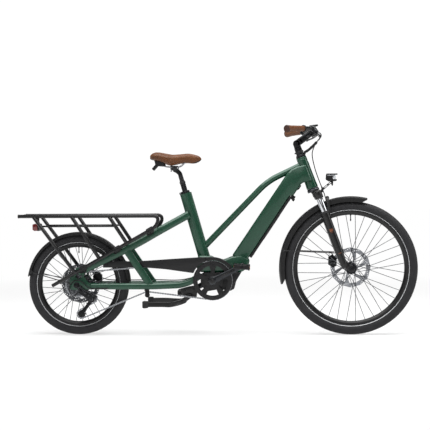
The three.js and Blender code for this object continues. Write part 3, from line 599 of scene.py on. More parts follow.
DISPLAY = finish_of("display_glass", rgb(12, 14, 17), 0.12, 0.0, 0.8, 12, 300, 0.004, None, 0, 1.0, 0.03)
LEATHER = leather("tan_leather", rgb(100, 57, 23), rgb(72, 41, 17), 0.46)
DARK_LEATHER = leather("brown_leather", rgb(62, 33, 20), rgb(44, 24, 15), 0.5)
THREAD = finish_of("thread", rgb(178, 132, 88), 0.8, 0.0, 0.7, 300, 3500, 0.12)
RED_LENS = lens("red_lens", rgb(112, 22, 20), 260)
CLEAR_LENS = lens("clear_lens", rgb(222, 226, 230), 230)
AMBER_LENS = lens("amber_lens", rgb(166, 92, 24), 300)

# ------------------------------------------------------------------------------------ wheels
def tyre(name, body, axle, rim_radius, half_width, pitches):
    """A touring tyre: a centre rib, slanted blocks beside it, shoulder blocks and ribs near the bead."""
    outer = span(name, 2)[1] - axle.z
    middle = (outer + rim_radius) / 2
    tall = outer - middle
    groove = 1.7
    crown = [0, 2.6, 3.0, 4.4, 4.8, 8.6, 12.4, 12.8, 14.2, 14.6, 18.6, 22.0, 23.4]
    lanes = [(0, 2.8, 0), (2.8, 4.6, 1), (4.6, 12.6, 2), (12.6, 14.4, 1), (14.4, 22.5, 3)]

    def lane(y):
        return next((kind for low, high, kind in lanes if low <= y < high), 4)

    side_steps = 14
    low_angle = math.radians(-62)
    edge_angle = math.acos(24.6 / half_width)
    half = [(y, tall * math.sqrt(1 - (y / half_width) ** 2), lane(y)) for y in crown]
    for i in range(side_steps + 1):
        a = edge_angle + (low_angle - edge_angle) * i / side_steps
        rib = 0.7 if i in (8, 11) else 0.0
        half.append((half_width * math.cos(a) + rib, tall * math.sin(a), 4))
    profile = [(-y, r, kind) for y, r, kind in reversed(half[1:])] + half
    shape = Shape()
    rings = []
    for pitch in range(pitches):
        for where, cut in ((0.0, True), (0.15, True), (0.2, False), (0.95, False)):
            ring = []
            for y, rise, kind in profile:
                slant = 0.055 * abs(y) if kind in (1, 2) else 0.055 * 13 - 0.03 * (abs(y) - 13) + 0.5
                angle = (pitch + where + (slant if kind < 4 else 0.0)) * math.tau / pitches
                deep = kind == 1 or (cut and kind in (2, 3))
                ring.append(polar(axle, middle + rise - (groove if deep else 0), angle, y))
            rings.append(ring)
    shape.skin(rings, closed=True)
    shape.piece(name + "_casing", body, RUBBER, [name], sharp=50)

    stripe = Shape()
    for side in SIDES:
        band = []
        for a in (-0.92, -0.85, -0.78):
            band.append((middle + tall * math.sin(a), side * (half_width * math.cos(a) + 0.6)))
        back = [(r, y - side * 0.8) for r, y in reversed(band)]
        stripe.lathe(band + back, axle, SIDE, 144, closed=True)
    stripe.piece(name + "_reflective_stripe", body, BAND, sharp=50)


def rim(name, body, axle, radius):
    """A double-walled rim with hooked edges, its spoke nipples and the tyre valve."""
    profile = [
        (radius - 1.0, -13.0), (radius + 3.0, -13.2), (radius + 3.6, -14.0), (radius + 3.0, -14.8),
        (radius - 3.0, -14.8), (radius - 6.0, -14.4), (radius - 9.5, -11.8), (radius - 14.5, -9.0),
        (radius - 17.0, -6.0), (radius - 17.8, -2.0),
    ]
    profile += [(r, -y) for r, y in reversed(profile)]
    shape = Shape().lathe(profile, axle, SIDE, 180, closed=True)
    shape.piece(name + "_profile", body, BLACK, [name], sharp=30)
    nipples = Shape()
    for i in range(SPOKES):
        angle = (i + 0.5) * math.tau / SPOKES
        y = 3.0 if i % 2 else -3.0
        nipples.rod(polar(axle, radius - 14, angle, y), polar(axle, radius - 25, angle, y * 1.4), 2.2, 1.7,
                    0.3, 8)
    nipples.piece(name + "_nipples", body, ALLOY)
    valve = Shape()
    valve.rod(polar(axle, radius - 12, math.pi / 2), polar(axle, radius - 46, math.pi / 2), 2.6, 2.4, 0.3,
              12)
    valve.rod(polar(axle, radius - 17, math.pi / 2), polar(axle, radius - 21, math.pi / 2), 4.2, None, 0.5,
              6)
    valve.rod(polar(axle, radius - 38, math.pi / 2), polar(axle, radius - 49, math.pi / 2), 3.4, 2.9, 0.9,
              12)
    valve.piece(name + "_valve", body, PLASTIC)


def spokes(name, body, axle, rim_radius, flange_radius, flanges):
    """Spokes laced three-cross: on each flange every other one leads and the rest trail."""
    shape = Shape()
    lead = math.radians(62)
    for i in range(SPOKES):
        side = i % 2
        angle = (i + 0.5) * math.tau / SPOKES
        turn = lead if (i // 2) % 2 else -lead
        flange = flanges[side]
        outward = 1.2 if (i // 2) % 2 else -1.2
        start = polar(axle, flange_radius, angle + turn, flange + math.copysign(1.6, flange) * outward)
        end = polar(axle, rim_radius - 22, angle, 4.2 if side else -4.2)
        bend = start.lerp(end, 0.5)
        shape.tube([start, bend, end], 1.5, 8)
        shape.ball(start, 1.9, 8)
    shape.piece(name, body, SPOKE_STEEL_AND_SHADE)


def hub(name, body, axle, profile, flanges, flange_radius):
    """A hub shell with drilled flanges, cone nuts and its axle's ends."""
    shape = Shape().lathe(profile, axle, SIDE, 64)
    shape.piece(name + "_shell", body, FORGED, [name], sharp=32)
    rims = Shape()
    for flange in flanges:
        ring = [(flange_radius + 3.2, flange - 1.8), (flange_radius + 3.8, flange),
                (flange_radius + 3.2, flange + 1.8)]
        ring += [(flange_radius - 4.4, flange + 1.8), (flange_radius - 4.4, flange - 1.8)]
        rims.lathe(ring, axle, SIDE, 64, closed=True)
        for i in range(SPOKES // 2):
            centre = polar(axle, flange_radius, (i + 0.25) * math.tau / (SPOKES / 2), flange)
            rims.across(centre.x, centre.z, flange - 2.3, flange + 2.3, 1.9, 0.3, 8)
    rims.piece(name + "_flanges", body, FORGED, sharp=32)


def rotor(name, body, axle, y, metal):
    """A wavy brake disc with slots and cooling holes, on a six-armed carrier."""
    wavy = []
    for i in range(216):
        angle = i * math.tau / 216
        point = polar(axle, ROTOR_R - 1.4 + 1.3 * math.cos(12 * angle), angle)
        wavy.append((point.x, point.z))
    holes = []
    for i in range(12):
        a = i * math.tau / 12
        for turn, radius, size in ((0.06, 96.2, 2.1), (0.16, 92.0, 2.3), (0.27, 87.4, 2.1),
                                   (0.37, 83.4, 1.8)):
            p = polar(axle, radius, a + turn)
            holes.append(hole(p, size, 10))
    arms, lean = 6, 0.34
    width = math.tau / arms - 0.27
    for i in range(arms):
        first = i * math.tau / arms + 0.13
        last = first + width + 0.06
        outer = arc(axle, 79.5, first + lean, first + lean + width, 14)
        inner = arc(axle, 27.5, last, first, 6)
        back = [polar(axle, r, last + (lean - 0.06) * t) for r, t in ((45, 0.25), (64, 0.66))]
        front = [polar(axle, r, first + lean * t) for r, t in ((64, 0.66), (45, 0.25))]
        holes.append(outer + flat(back[::-1]) + inner + flat(front[::-1]))
    holes.append(hole(axle, 15.5, 24))
    disc = Shape().plate(wavy, y - 0.9, y + 0.9, 0.0, holes)
    disc.piece(name + "_disc", body, metal, [name], sharp=30, slot="steel")
    carrier = Shape()
    carrier.lathe([(15.5, y - 1.6), (24.5, y - 1.6), (25.2, y), (24.5, y + 1.6), (15.5, y + 1.6)],
                  axle, SIDE, 48, closed=True)
    for i in range(6):
        p = polar(axle, 22.0, (i + 0.5) * math.tau / 6, y + 1.2)
        carrier.bolt(p, SIDE, 2.6, 1.6)
    carrier.piece(name + "_carrier", body, FORGED)


def wheels():
    front_y, rear_y = (-28, 28), (-24, 34)  # the hubs' flanges
    tyre("front_tyre", "front_wheel", FRONT_AXLE, 286.3, 28.4, 92)
    tyre("rear_tyre", "rear_wheel", REAR_AXLE, 207.3, 26.9, 70)
    rim("front_rim", "front_wheel", FRONT_AXLE, 286)
    rim("rear_rim", "rear_wheel", REAR_AXLE, 207)
    spokes("front_spokes", "front_wheel", FRONT_AXLE, 286, 26, front_y)
    spokes("rear_spokes", "rear_wheel", REAR_AXLE, 207, 28, rear_y)
    front = [
        (0, -51.5), (3.0, -51.5), (7.4, -50.5), (7.4, -44), (11.5, -42.5), (12.5, -36), (15, -33),
        (20, -30.2), (20, -26), (15.5, -23), (14.2, -14), (14.8, 0), (14.2, 14), (15.5, 23), (20, 26),
        (20, 30.2), (19, 34), (19, 40.6), (12, 43.5), (7.4, 44.5), (7.4, 50.5), (3.0, 51.5), (0, 51.5),
    ]
    hub("front_hub", "front_wheel", FRONT_AXLE, front, front_y, 26)
    rear = [
        (0, -73.5), (3.5, -73.5), (7.4, -72.5), (7.4, -66), (16.6, -65.5), (16.6, -30), (21, -27),
        (21, -21), (16.5, -18), (15.4, 0), (16.5, 28), (21, 31), (21, 37), (19.5, 40), (19.5, 52.6),
        (12, 56), (7.4, 60), (7.4, 72.5), (3.5, 73.5), (0, 73.5),
    ]
    hub("rear_hub", "rear_wheel", REAR_AXLE, rear, rear_y, 28)
    rotor("front_rotor", "front_wheel", FRONT_AXLE, FRONT_ROTOR_Y, DISC)
    # Painted shade: the rear disc is the same steel as the front one, drawn in the darker spoke steel for
    # the shade it sits in behind the cassette.
    rotor("rear_rotor", "rear_wheel", REAR_AXLE, REAR_ROTOR_Y, SPOKE_STEEL_AND_SHADE)


# ------------------------------------------------------------------------------------ drive
CHAIN_WHEELS = [
    (BB, pitch_radius(48), 1), (REAR_AXLE, pitch_radius(30), 1), (GUIDE_PULLEY, pitch_radius(11), -1),
    (TENSION_PULLEY, pitch_radius(11), 1), (CHAIN_ROLLER, 17.1, -1),
]


def chain_path():
    """The chain's pitch line round its wheels, as close points."""
    count = len(CHAIN_WHEELS)
    headings = []
    for i, (centre, radius, turn) in enumerate(CHAIN_WHEELS):
        other, far, way = CHAIN_WHEELS[(i + 1) % count]
        gap = other - centre
        length = math.hypot(gap.x, gap.z)
        headings.append(math.atan2(gap.z, gap.x) - math.asin((way * far - turn * radius) / length))
    points = []
    for i, (centre, radius, turn) in enumerate(CHAIN_WHEELS):
        before = headings[i - 1]
        swing = (headings[i] - before) * turn % math.tau * turn
        steps = max(2, int(abs(swing) * radius / 2))
        for k in range(steps + 1):
            h = before + swing * k / steps
            points.append(at(centre.x + math.sin(h) * turn * radius, centre.z - math.cos(h) * turn * radius,
                             CHAIN_Y))
    return points


def evenly(points, count):
    """count points at equal distances round a closed polyline."""
    loop = points + [points[0]]
    lengths = [0.0]
    for a, b in zip(loop, loop[1:]):
        lengths.append(lengths[-1] + (b - a).length)
    placed = []
    k = 0
    for i in range(count):
        wanted = lengths[-1] * i / count
        while lengths[k + 1] < wanted:
            k += 1
        placed.append(loop[k].lerp(loop[k + 1], (wanted - lengths[k]) / (lengths[k + 1] - lengths[k])))
    return placed


def chain():
    route = chain_path()
    loop = route + [route[0]]
    length = sum((b - a).length for a, b in zip(loop, loop[1:]))
    pins = evenly(route, 2 * round(length / LINK / 2))
    plates, rollers = Shape(), Shape()
    waist, lobe, link_half = 3.0, 4.1, LINK / 2
    outline = []
    for end in (1, -1):
        for k in range(7):
            a = (k / 6 - 0.5) * math.radians(230)
            outline.append((end * (link_half + lobe * math.cos(a)), end * lobe * math.sin(a)))
        outline.append((0, end * waist))
    for i, pin in enumerate(pins):
        far = pins[(i + 1) % len(pins)]
        along = (far - pin).normalized()
        turn = Matrix.Rotation(-math.atan2(along.z, along.x), 4, "Y")
        place = Matrix.Translation((pin + far) / 2) @ turn
        outer = 2.9 if i % 2 else 1.8
        for side in SIDES:
            low, high = sorted((side * (outer - 1.0), side * outer))
            plates.plate(outline, low, high, 0, (), 1, place)
        rollers.across(pin.x, pin.z, pin.y - 1.7, pin.y + 1.7, 3.8, 0.3, 10)
        rollers.across(pin.x, pin.z, pin.y - 3.15, pin.y + 3.15, 1.7, 0.3, 8)
    plates.piece("chain_plates", "frame", STEEL, ["chain"])
    rollers.piece("chain_rollers", "frame", FORGED)


def toothed(axle, teeth, y0, y1, inner, windows=(), phase=0.0):
    """A sprocket: rounded valleys for the chain's rollers between short teeth."""
    pitch = pitch_radius(teeth)
    outline = []
    for i in range(teeth):
        for step, radius in ((0.0, -3.9), (0.14, -3.3), (0.25, -1.2), (0.36, 1.8), (0.46, 3.1), (0.54, 3.1),
                             (0.64, 1.8), (0.75, -1.2), (0.86, -3.3)):
            p = polar(axle, pitch + radius, (i + step + phase) * math.tau / teeth)
            outline.append((p.x, p.z))
    return Shape().plate(outline, y0, y1, 0.0, [hole(axle, inner, 36), *windows])


def chainset():
    teeth = toothed(BB, 48, CHAIN_Y - 0.9, CHAIN_Y + 0.9, 80, phase=0.4)
    teeth.piece("chainring_teeth", "crankset", FORGED, sharp=30)
    windows = [
        sector(BB, 40, 76, (i + 0.17) * math.tau / 5 + 0.3, (i + 0.83) * math.tau / 5 + 0.3, 12)
        for i in range(5)
    ]
    guard = Shape()
    guard.plate(arc(BB, 98.6, 0, math.tau, 120)[:-1], CHAIN_Y - 8.4, CHAIN_Y - 5.4, 0.9, windows)
    guard.lathe([(84, -53.6), (85, -54.4), (93.5, -54.4), (94.5, -53.6), (94.5, -52.6), (84, -52.6)],
                BB, SIDE, 120, closed=True)
    guard.piece("chainring_guard", "crankset", SATIN, ["chainring"], sharp=30)
    spider = Shape()
    spider.lathe([(10, -57.5), (22, -57.5), (24, -56), (24.5, -50), (24.5, -43.5), (10, -43.5)],
                 BB, SIDE, 48, closed=True)
    for i in range(5):
        angle = i * math.tau / 5 + 0.3
        spider.bar(polar(BB, 20, angle, -50), polar(BB, 84, angle, -49.6), 6, 15, 2.4)
        p = polar(BB, 80, angle, -53.0)
        spider.bolt(p, -SIDE, 4.2, 1.6)
    spider.piece("chainring_spider", "crankset", FORGED)
    for side, name in ((RIGHT, "crank_right"), (LEFT, "crank_left")):
        far = PEDAL_AXLE[side]
        arm = Shape()
        start, end = at(BB.x, BB.z, side * 71), at(far.x, far.z, side * 80)
        path = [start.lerp(end, t) for t in (0.0, 0.1, 0.25, 0.5, 0.75, 0.92, 1.0)]
        arm.sweep(path, oval(7, 15, 36, 3.2), 0.0, [1.18, 1.1, 1.0, 0.93, 0.88, 0.9, 0.92])
        y0 = 56 if side == RIGHT else 44
        arm.across(BB.x, BB.z, side * y0, side * 80, 20, 2.2, 48)
        arm.across(far.x, far.z, side * 73, side * 88, 15, 2.5, 40)
        arm.piece(name + "_arm", "crankset", CRANK, [name], slot="black_metal")
        trim = Shape()
        trim.across(BB.x, BB.z, side * 79.5, side * 81.6, 12.5, 0.8, 40)
        trim.bolt(at(BB.x, BB.z, side * 81.4), SIDE * side, 6.5, 0.8)
        recess = [start.lerp(end, 0.3) + SIDE * side * 6.4, start.lerp(end, 0.74) + SIDE * side * 5.9]
        trim.bar(recess[0], recess[1], 1.4, 9, 0.6, 0.5)
        trim.across(far.x, far.z, side * 87.4, side * 90.0, 7.8, 0.5, 6)
        trim.piece(name + "_trim", "crankset", BLACK)
    spindle = Shape().across(BB.x, BB.z, -72, 76, 9, 0.6, 32)
    spindle.piece("crank_spindle", "crankset", STEEL)


def pedals():
    for side, name, body, tilt in ((RIGHT, "pedal_right", "pedal_r", 0.1),
                                   (LEFT, "pedal_left", "pedal_l", 0.05)):
        axle = PEDAL_AXLE[side]
        turn = Matrix.Translation(at(axle.x, axle.z, side * 146)) @ Matrix.Rotation(tilt, 4, "Y")
        cage = Shape()

        def spot(x, y, z):
            return turn @ Vector((x, side * y, z))

        for x in (-36, 36):
            cage.sweep([spot(x, -46, 0), spot(x, 46, 0)], rounded_box(7, 25, 3), 2.5,
                       side=Vector((1, 0, 0)))
        for y in (-44, 44):
            cage.sweep([spot(-37, y, 0), spot(37, y, 0)], rounded_box(8, 22, 3), 2.5)
        for y in (-20, 20):
            cage.sweep([spot(-36, y, 0), spot(36, y, 0)], rounded_box(7, 14, 3), 1)
        for x in (-36, 36):
            for k in range(7):
                tip = spot(x, -39 + 13 * k, 0)
                for way in (1, -1):
                    cage.rod(tip + UP * 11.5 * way, tip + UP * 15 * way, 1.7, 1.2, 0.4, 8)
        cage.piece(name + "_cage", body, PLASTIC, [name])
        barrel = Shape()
        barrel.rod(spot(0, -57.5, 0), spot(0, -40, 0), 8, 8, 0.8, 24)
        barrel.rod(spot(0, -42, 0), spot(0, 44, 0), 11, 9.5, 1.0, 28)
        barrel.rod(spot(0, 44, 0), spot(0, 48.6, 0), 9.5, 7, 1.2, 24)
        barrel.piece(name + "_barrel", body, FORGED)
        glint = Shape()
        for x in (-39.6, 39.6):
            glint.sweep([spot(x, -32, 0), spot(x, 32, 0)], rounded_box(2.2, 12, 0.9), 0.6,
                        side=Vector((1, 0, 0)))
        glint.piece(name + "_reflectors", body, AMBER_LENS)


def cassette():
    """Toothed sprockets on the freehub, their spacers and the lock ring."""
    cogs = Shape()
    steps = [(30, -45.0), (24, -49.4), (21, -52.6), (18, -55.8), (15, -59.0)]
    for teeth, y in steps:
        cogs.take(toothed(REAR_AXLE, teeth, y - 0.9, y + 0.9, 17.2).mesh)
    windows = [sector(REAR_AXLE, 30, 50, i * math.tau / 6 + 0.21, i * math.tau / 6 + 0.83, 6)
               for i in range(6)]
    cogs.take(toothed(REAR_AXLE, 30, -40.4, -38.6, 17.2, windows, 0.5).mesh)
    cogs.piece("cassette_cogs", "cassette", SPOKE_STEEL_AND_SHADE, ["cassette"], sharp=30)
    spacers = Shape()
    for y in (-42.7, -47.2, -51.0, -54.2, -57.4):
        spacers.lathe([(17.2, y - 1.2), (25, y - 1.2), (25, y + 1.2), (17.2, y + 1.2)],
                      REAR_AXLE, SIDE, 40, closed=True)
    ring = [(12, -62), (19, -62), (20.5, -61.2), (20.5, -60), (12, -60)]
    spacers.lathe(ring, REAR_AXLE, SIDE, 40, closed=True)
    spacers.piece("cassette_spacers", "cassette", FORGED)


def derailleur():
    body = Shape()
    hanger, knuckle = at(-697, 240, -93), at(GUIDE_PULLEY.x, 196, -93)
    body.sweep([hanger, hanger.lerp(knuckle, 0.35), hanger.lerp(knuckle, 0.7),
                knuckle + Vector((4, 0, -3))],
               oval(8, 13, 32, 3), 2, [0.8, 1.0, 1.05, 0.95])
    body.across(GUIDE_PULLEY.x, GUIDE_PULLEY.z, -97.5, -53.6, 17.5, 3, 40)
    body.across(-697, 243, -97.5, -82.4, 11, 1.6, 32)
    body.sweep([hanger + Vector((-6, -1, -14)), knuckle + Vector((-12, -1, -8))], oval(5, 6, 20, 3), 1.5)
    body.piece("derailleur_knuckle", "frame", FORGED, ["derailleur_body"])
    trim = Shape()
    trim.bolt(at(-697, 243, -97), -SIDE, 7, 2.2)
    trim.bolt(at(GUIDE_PULLEY.x, GUIDE_PULLEY.z, -97), -SIDE, 9, 1.4)
    trim.bar(hanger.lerp(knuckle, 0.22) - SIDE * 7.4, hanger.lerp(knuckle, 0.82) - SIDE * 7.6, 1.4, 8, 0.6,
             0.5)
    trim.piece("derailleur_trim", "frame", CRANK, slot="alloy")
    cage = Shape()
    along = (TENSION_PULLEY - GUIDE_PULLEY).normalized()
    for y in (-52, -38):
        start = at(GUIDE_PULLEY.x, GUIDE_PULLEY.z, y) - along * 9
        end = at(TENSION_PULLEY.x, TENSION_PULLEY.z, y) + along * 9
        cage.sweep([start.lerp(end, t) for t in (0, 0.08, 0.2, 0.5, 0.8, 0.92, 1)], rounded_box(2, 22, 0.8),
                   0, [0.45, 0.85, 0.95, 0.72, 0.95, 0.95, 0.5])
    for wheel in (GUIDE_PULLEY, TENSION_PULLEY):
        cage.bolt(at(wheel.x, wheel.z, -52.6), -SIDE, 4.2, 1.4)
        cage.across(wheel.x, wheel.z, -52, -38, 3.6, 0.4, 16)
    cage.piece("derailleur_cage_plates", "frame", FORGED, ["derailleur_cage"])
    pulleys = Shape()
    for wheel, phase in ((GUIDE_PULLEY, 0.0), (TENSION_PULLEY, 0.5)):
        pulleys.take(toothed(wheel, 11, CHAIN_Y - 1.1, CHAIN_Y + 1.1, 5.0, phase=phase).mesh)
        pulleys.lathe([(5, -47.6), (9, -47.6), (9, -42.4), (5, -42.4)], wheel, SIDE, 32,
                      closed=True)
    pulleys.piece("derailleur_pulleys", "frame", PLASTIC, sharp=30)


def drive_unit():
    motor = Shape()
    corners = [(0, 231), (60, 226), (80, 232), (90, 270), (118, 317.5)]
    shell = arc(BB, 62, math.pi * 0.7735, math.pi * 1.35, 28) + corners
    motor.plate(shell, -40, 40, 7, segments=5)
    motor.across(BB.x, BB.z, -42.5, 42.5, 30, 2, 56)
    motor.piece("drive_motor_casting", "frame", SATIN, ["drive_motor"], sharp=44)
    trim = Shape()
    for side in SIDES:
        cover = [(8, 239), (56, 234), (72, 240), (80, 272), (94, 304), (60, 308), (30, 304), (22, 250)]
        trim.plate(cover, side * 39.4, side * 41.4, 0.8)
        for x, z in ((-70, 300), (-80, 262), (-52, 226), (8, 233), (66, 230), (84, 284), (104, 310)):
            trim.bolt(at(x, z, side * 39.6), SIDE * side, 4.0, 2.0)
        trim.lathe([(24, side * 41.8), (29, side * 41.8), (29, side * 43.0), (24, side * 43.0)],
                   BB, SIDE, 48, closed=True)
    for k in range(5):
        trim.bar(at(4 + 14 * k, 229 - k * 0.9, -30), at(4 + 14 * k, 229 - k * 0.9, 30), 4, 5, 1.5,
                 side=Vector((1, 0, 0)))
    trim.piece("drive_motor_trim", "frame", PLASTIC)

    guard = Shape()
    outline = [(-582, 344), (-382, 345), (-263, 335)]
    outline += arc(BB, 103.5, math.pi * 0.88, math.pi * 0.14, 40)
    outline += arc(BB, 119.5, math.pi * 0.14, math.pi * 0.52, 26)
    top = smooth([at(-36, 396.5), at(-100, 395), at(-240, 387), at(-383, 378), at(-582, 374)], 24)
    outline += flat(top[3:])
    guard.plate(outline, -60, -53.5, 2.2, segments=4)
    guard.rod(at(-84, 387, -56), at(-84, 387, -38.3), 4)
    guard.piece("chain_guard_shell", "frame", SATIN, ["chain_guard"], sharp=40)
    clips = Shape().bolts(((-560, 359), (-300, 361), (-60, 388)), 59.4, 4.4, 1.6, [RIGHT])
    clips.piece("chain_guard_screws", "frame", FORGED, slot="steel")

    roller = Shape()
    x, z = CHAIN_ROLLER.x, CHAIN_ROLLER.z
    roller.lathe([(5, -49), (12.5, -49), (12.5, -47.6), (10.6, -46.8), (10.6, -43.2), (12.5, -42.4),
                  (12.5, -41), (5, -41)], at(x, z), SIDE, 40, closed=True)
    roller.bar(at(x, z - 6, -51), at(x, 233, -51), 4, 22, 1.5)
    roller.bar(at(x, 231.2, -84), at(x, 231.2, -49), 22, 6.2, 1.5, side=Vector((1, 0, 0)))
    roller.bolt(at(x, z, -52.6), -SIDE, 4.6, 1.8)
    roller.across(x, z, -52, -39.5, 4.6, 0.6, 20)
    roller.piece("chain_roller_wheel", "frame", PLASTIC, ["chain_roller"])

    cable = Shape()
    route = [
        at(-560, 241, -93.5), at(-600, 241, -94.5), at(-650, 245, -96), at(-684, 274, -95.5),
        at(-712, 283, -94),
        at(-738, 268, -94), at(-750, 238, -94), at(-738, 208, -93), at(-722, 204, -92), at(-713, 214, -92),
    ]
    path = smooth(route, 72)
    cable.tube(path, 2.5, 14)
    cable.rod(path[-1] + Vector((-2.4, 0, -3.0)), path[-1] + Vector((4.6, 0, 6.2)), 3.4, 2.8, 0.5, 16)
    cable.rod(path[0] + Vector((8, 0, 0)), path[0] - Vector((9, 0, 0)), 3.3, 3.0, 0.5, 16)
    cable.piece("shift_cable_housing", "frame", HOSE, ["shift_cable"])


# ------------------------------------------------------------------------------------ frame
def stay_path(side):
    return [
        at(-146, 612, side * 36), at(-300, 528, side * 56), at(-425, 458, side * 70),
        at(-560, 391, side * STAY_Y), at(-705, 322, side * STAY_Y),
    ]


def chainstay_path(side):
    corners = [
        at(-640, 251, side * STAY_Y), at(-320, 251, side * STAY_Y), at(-196, 253, side * 36),
        at(-142, 268, side * 27), at(-92, 300, side * 25),
    ]
    return rounded(corners, 24, 6)


BATTERY_LOW, BATTERY_HIGH = at(168, 388), at(375, 696)


def frame_tubes():
    head = Shape()
    profile = [(17, -165), (28.4, -165), (29.6, -163.5), (29.6, -150), (28.6, -144), (27.4, -90),
               (26.2, -16), (26.4, -10), (26.4, -1.4), (25.4, 0), (17, 0)]
    head.lathe(profile, STEER_TOP, STEER_UP, 72, closed=True)
    head.piece("head_tube_shell", "frame", GREEN, ["head_tube"])

    down = Shape()
    outline = [
        (69, 400), (352, 818), (372, 836), (400, 850), (446, 862), (478, 775), (426, 768), (379, 699),
        (366.5, 707), (157, 393), (146, 379),
    ]
    down.plate(outline, -37, 37, 14, segments=1, ease=2.6)
    down.piece("down_tube_shell", "frame", GREEN, ["down_tube"], sharp=16)

    top = Shape()
    path = rounded([at(-84, 432.5), at(252, 777), at(458, 874.8)], 60, 24)
    top.sweep(path, faceted(15.5, 15.5, 7, 5))
    top.piece("top_tube_shell", "frame", GREEN, ["top_tube"], sharp=16)

    tube = Shape()
    foot = at(-71.3, 392)
    tube.sweep([foot, foot.lerp(SEAT_TOP, 0.5), SEAT_TOP], faceted(23, 29.5, 9, 9))
    tube.piece("seat_tube_shell", "frame", GREEN, ["seat_tube"], sharp=16)

    cradle = Shape()
    outline = [(-108, 330), (-112, 372), (-100, 404), (-38, 400), (-10, 386), (27, 381), (69, 398),
               (120, 408), (161, 380), (152, 345), (122, 318), (-92, 318)]
    cradle.plate(outline, -38, 38, 8, segments=1, ease=2.2)
    cradle.piece("motor_cradle_casting", "frame", GREEN, ["motor_cradle"], sharp=18)

    screws = Shape().bolts(((-82, 334), (128, 336), (24, 350)), 37.6, 5.2, 2.6)
    screws.piece("motor_mount_bolts", "frame", FORGED, slot="steel")

    for side, name in NAMED_SIDES:
        stay = Shape()
        stay.sweep(smooth(stay_path(side), 40), faceted(12, 19, 5, 9, 2.0), 0)
        y0, y1 = sorted((side * 74, side * 82))
        dropout = [(-752, 242), (-750, 282), (-738, 318), (-712, 345), (-668, 352), (-676, 300),
                   (-655, 270), (-640.5, 267), (-640.5, 235), (-735, 232)]
        window = smooth([at(-722, 300), at(-704, 322), at(-690, 318), at(-690, 296), at(-706, 288),
                         at(-722, 300)], 20)
        stay.plate(dropout, y0, y1, 1.4, [flat(window[:-1])])
        stay.sweep([at(-465, 440, side * 73), at(-340, 257, side * STAY_Y)], rounded_box(20, 36, 7), 1.5)
        stay.piece("upper_stay_" + name + "_tube", "frame", GREEN, ["upper_stay_" + name], sharp=16)

        low = Shape()
        low.sweep(chainstay_path(side), faceted(12, 16, 5, 8, 2.0), 0)
        low.piece("chainstay_" + name + "_tube", "frame", GREEN, ["chainstay_" + name], sharp=16)

        fittings = Shape()
        fittings.across(REAR_AXLE.x, REAR_AXLE.z, side * 73.9, side * 88, 11, 1.2, 6)
        fittings.across(REAR_AXLE.x, REAR_AXLE.z, side * 82, side * 84.5, 15, 0.8, 40)
        fittings.across(REAR_AXLE.x, REAR_AXLE.z, side * 86, side * 92, 5.5, 0.8, 24)
        fittings.lathe([(5.5, side * 81), (9, side * 81), (9.6, side * 83), (9, side * 84.6),
                        (5.5, side * 84.6)],
                       at(-694, 246), SIDE, 32, closed=True)
        fittings.piece("axle_fittings_" + name, "frame", FORGED, slot="steel")

    weld_beads()


def weld_beads():
    """Smooth weld fillets where the tubes meet."""
    beads = Shape()
    along = at(125, -183).normalized()
    across = (SIDE - along * SIDE.dot(along)).normalized()
    deep_way = along.cross(across)
    for side in SIDES:
        for centre in (at(-464, 438, side * 73.4), at(-346, 266, side * 77.8)):
            ring = [centre + across * a + deep_way * d for a, d in oval(10, 18, 40, 3)]
            beads.sweep(ring + ring[:1], circle(2.4, 8), side=along)
    for low, radius in ((-150, 28.6), (-12, 26.4)):
        beads.lathe([(radius - 1, -2.4), (radius + 1.0, 0), (radius - 1, 2.4)], steer(0, 0, low), STEER_UP,
                    64, closed=True)
    beads.piece("weld_beads", "frame", GREEN)


def battery():
    along = (BATTERY_HIGH - BATTERY_LOW).normalized()
    inward = Vector((-along.z, 0, along.x))
    cover = Shape()
    low, high = BATTERY_LOW + inward * 6.5 + along, BATTERY_HIGH + inward * 6.5 - along
    cover.sweep([low, low.lerp(high, 0.5), high], rounded_box(70, 13, 4.5, 6), 2.0)
    cover.bar(low + inward * 16 + along * 2, high + inward * 16 - along * 2, 52, 26, 4)
    cover.piece("battery_cover", "frame", SATIN, ["battery_pack"])
    trim = Shape()
    for side in SIDES:
        y = SIDE * side * 35.2
        trim.bar(low + y + along * 14, high + y - along * 14, 0.9, 3.2, 0.4, 0.3)
    for t in (0.06, 0.94):
        p = low.lerp(high, t) - inward * 6.2
        for side in SIDES:
            trim.bolt(p + SIDE * side * 24, -inward, 3.6, 1.2)
    trim.sweep([low.lerp(high, 0.3) - inward * 6.7, low.lerp(high, 0.7) - inward * 6.7],
               rounded_box(30, 1.6, 0.7), 0.7)
    trim.piece("battery_trim", "frame", PLASTIC)
    latch = Shape()
    latch.bar(at(372, 684), at(385, 703.5), 40, 22, 5, 2.0)
    latch.bar(at(378, 676), at(386, 688), 26, 12, 3, 1.5)
    latch.lathe([(0, 0), (5.4, 0), (5.8, 0.8), (5.4, 1.6), (0, 1.6)], at(380, 692, -20.5), -SIDE, 32)
    latch.piece("battery_latch", "frame", PLASTIC)
    key = Shape()
    key.lathe([(0, 0), (3.8, 0), (3.8, 0.8), (0, 0.8)], at(380, 692, -21.9), -SIDE, 32)
    key.bar(at(380, 690, -22.8), at(380, 694, -22.8), 0.8, 1.2, 0.3, 0.2)
    key.piece("battery_lock", "frame", FORGED, slot="steel")
    port = Shape()
    port.bar(at(404, 736.5), at(418, 757), 24, 13, 4, 2.0)
    port.bar(at(401, 732), at(406, 739), 12, 8, 2, 1.0)
    port.piece("charge_port_cover", "frame", PLASTIC)


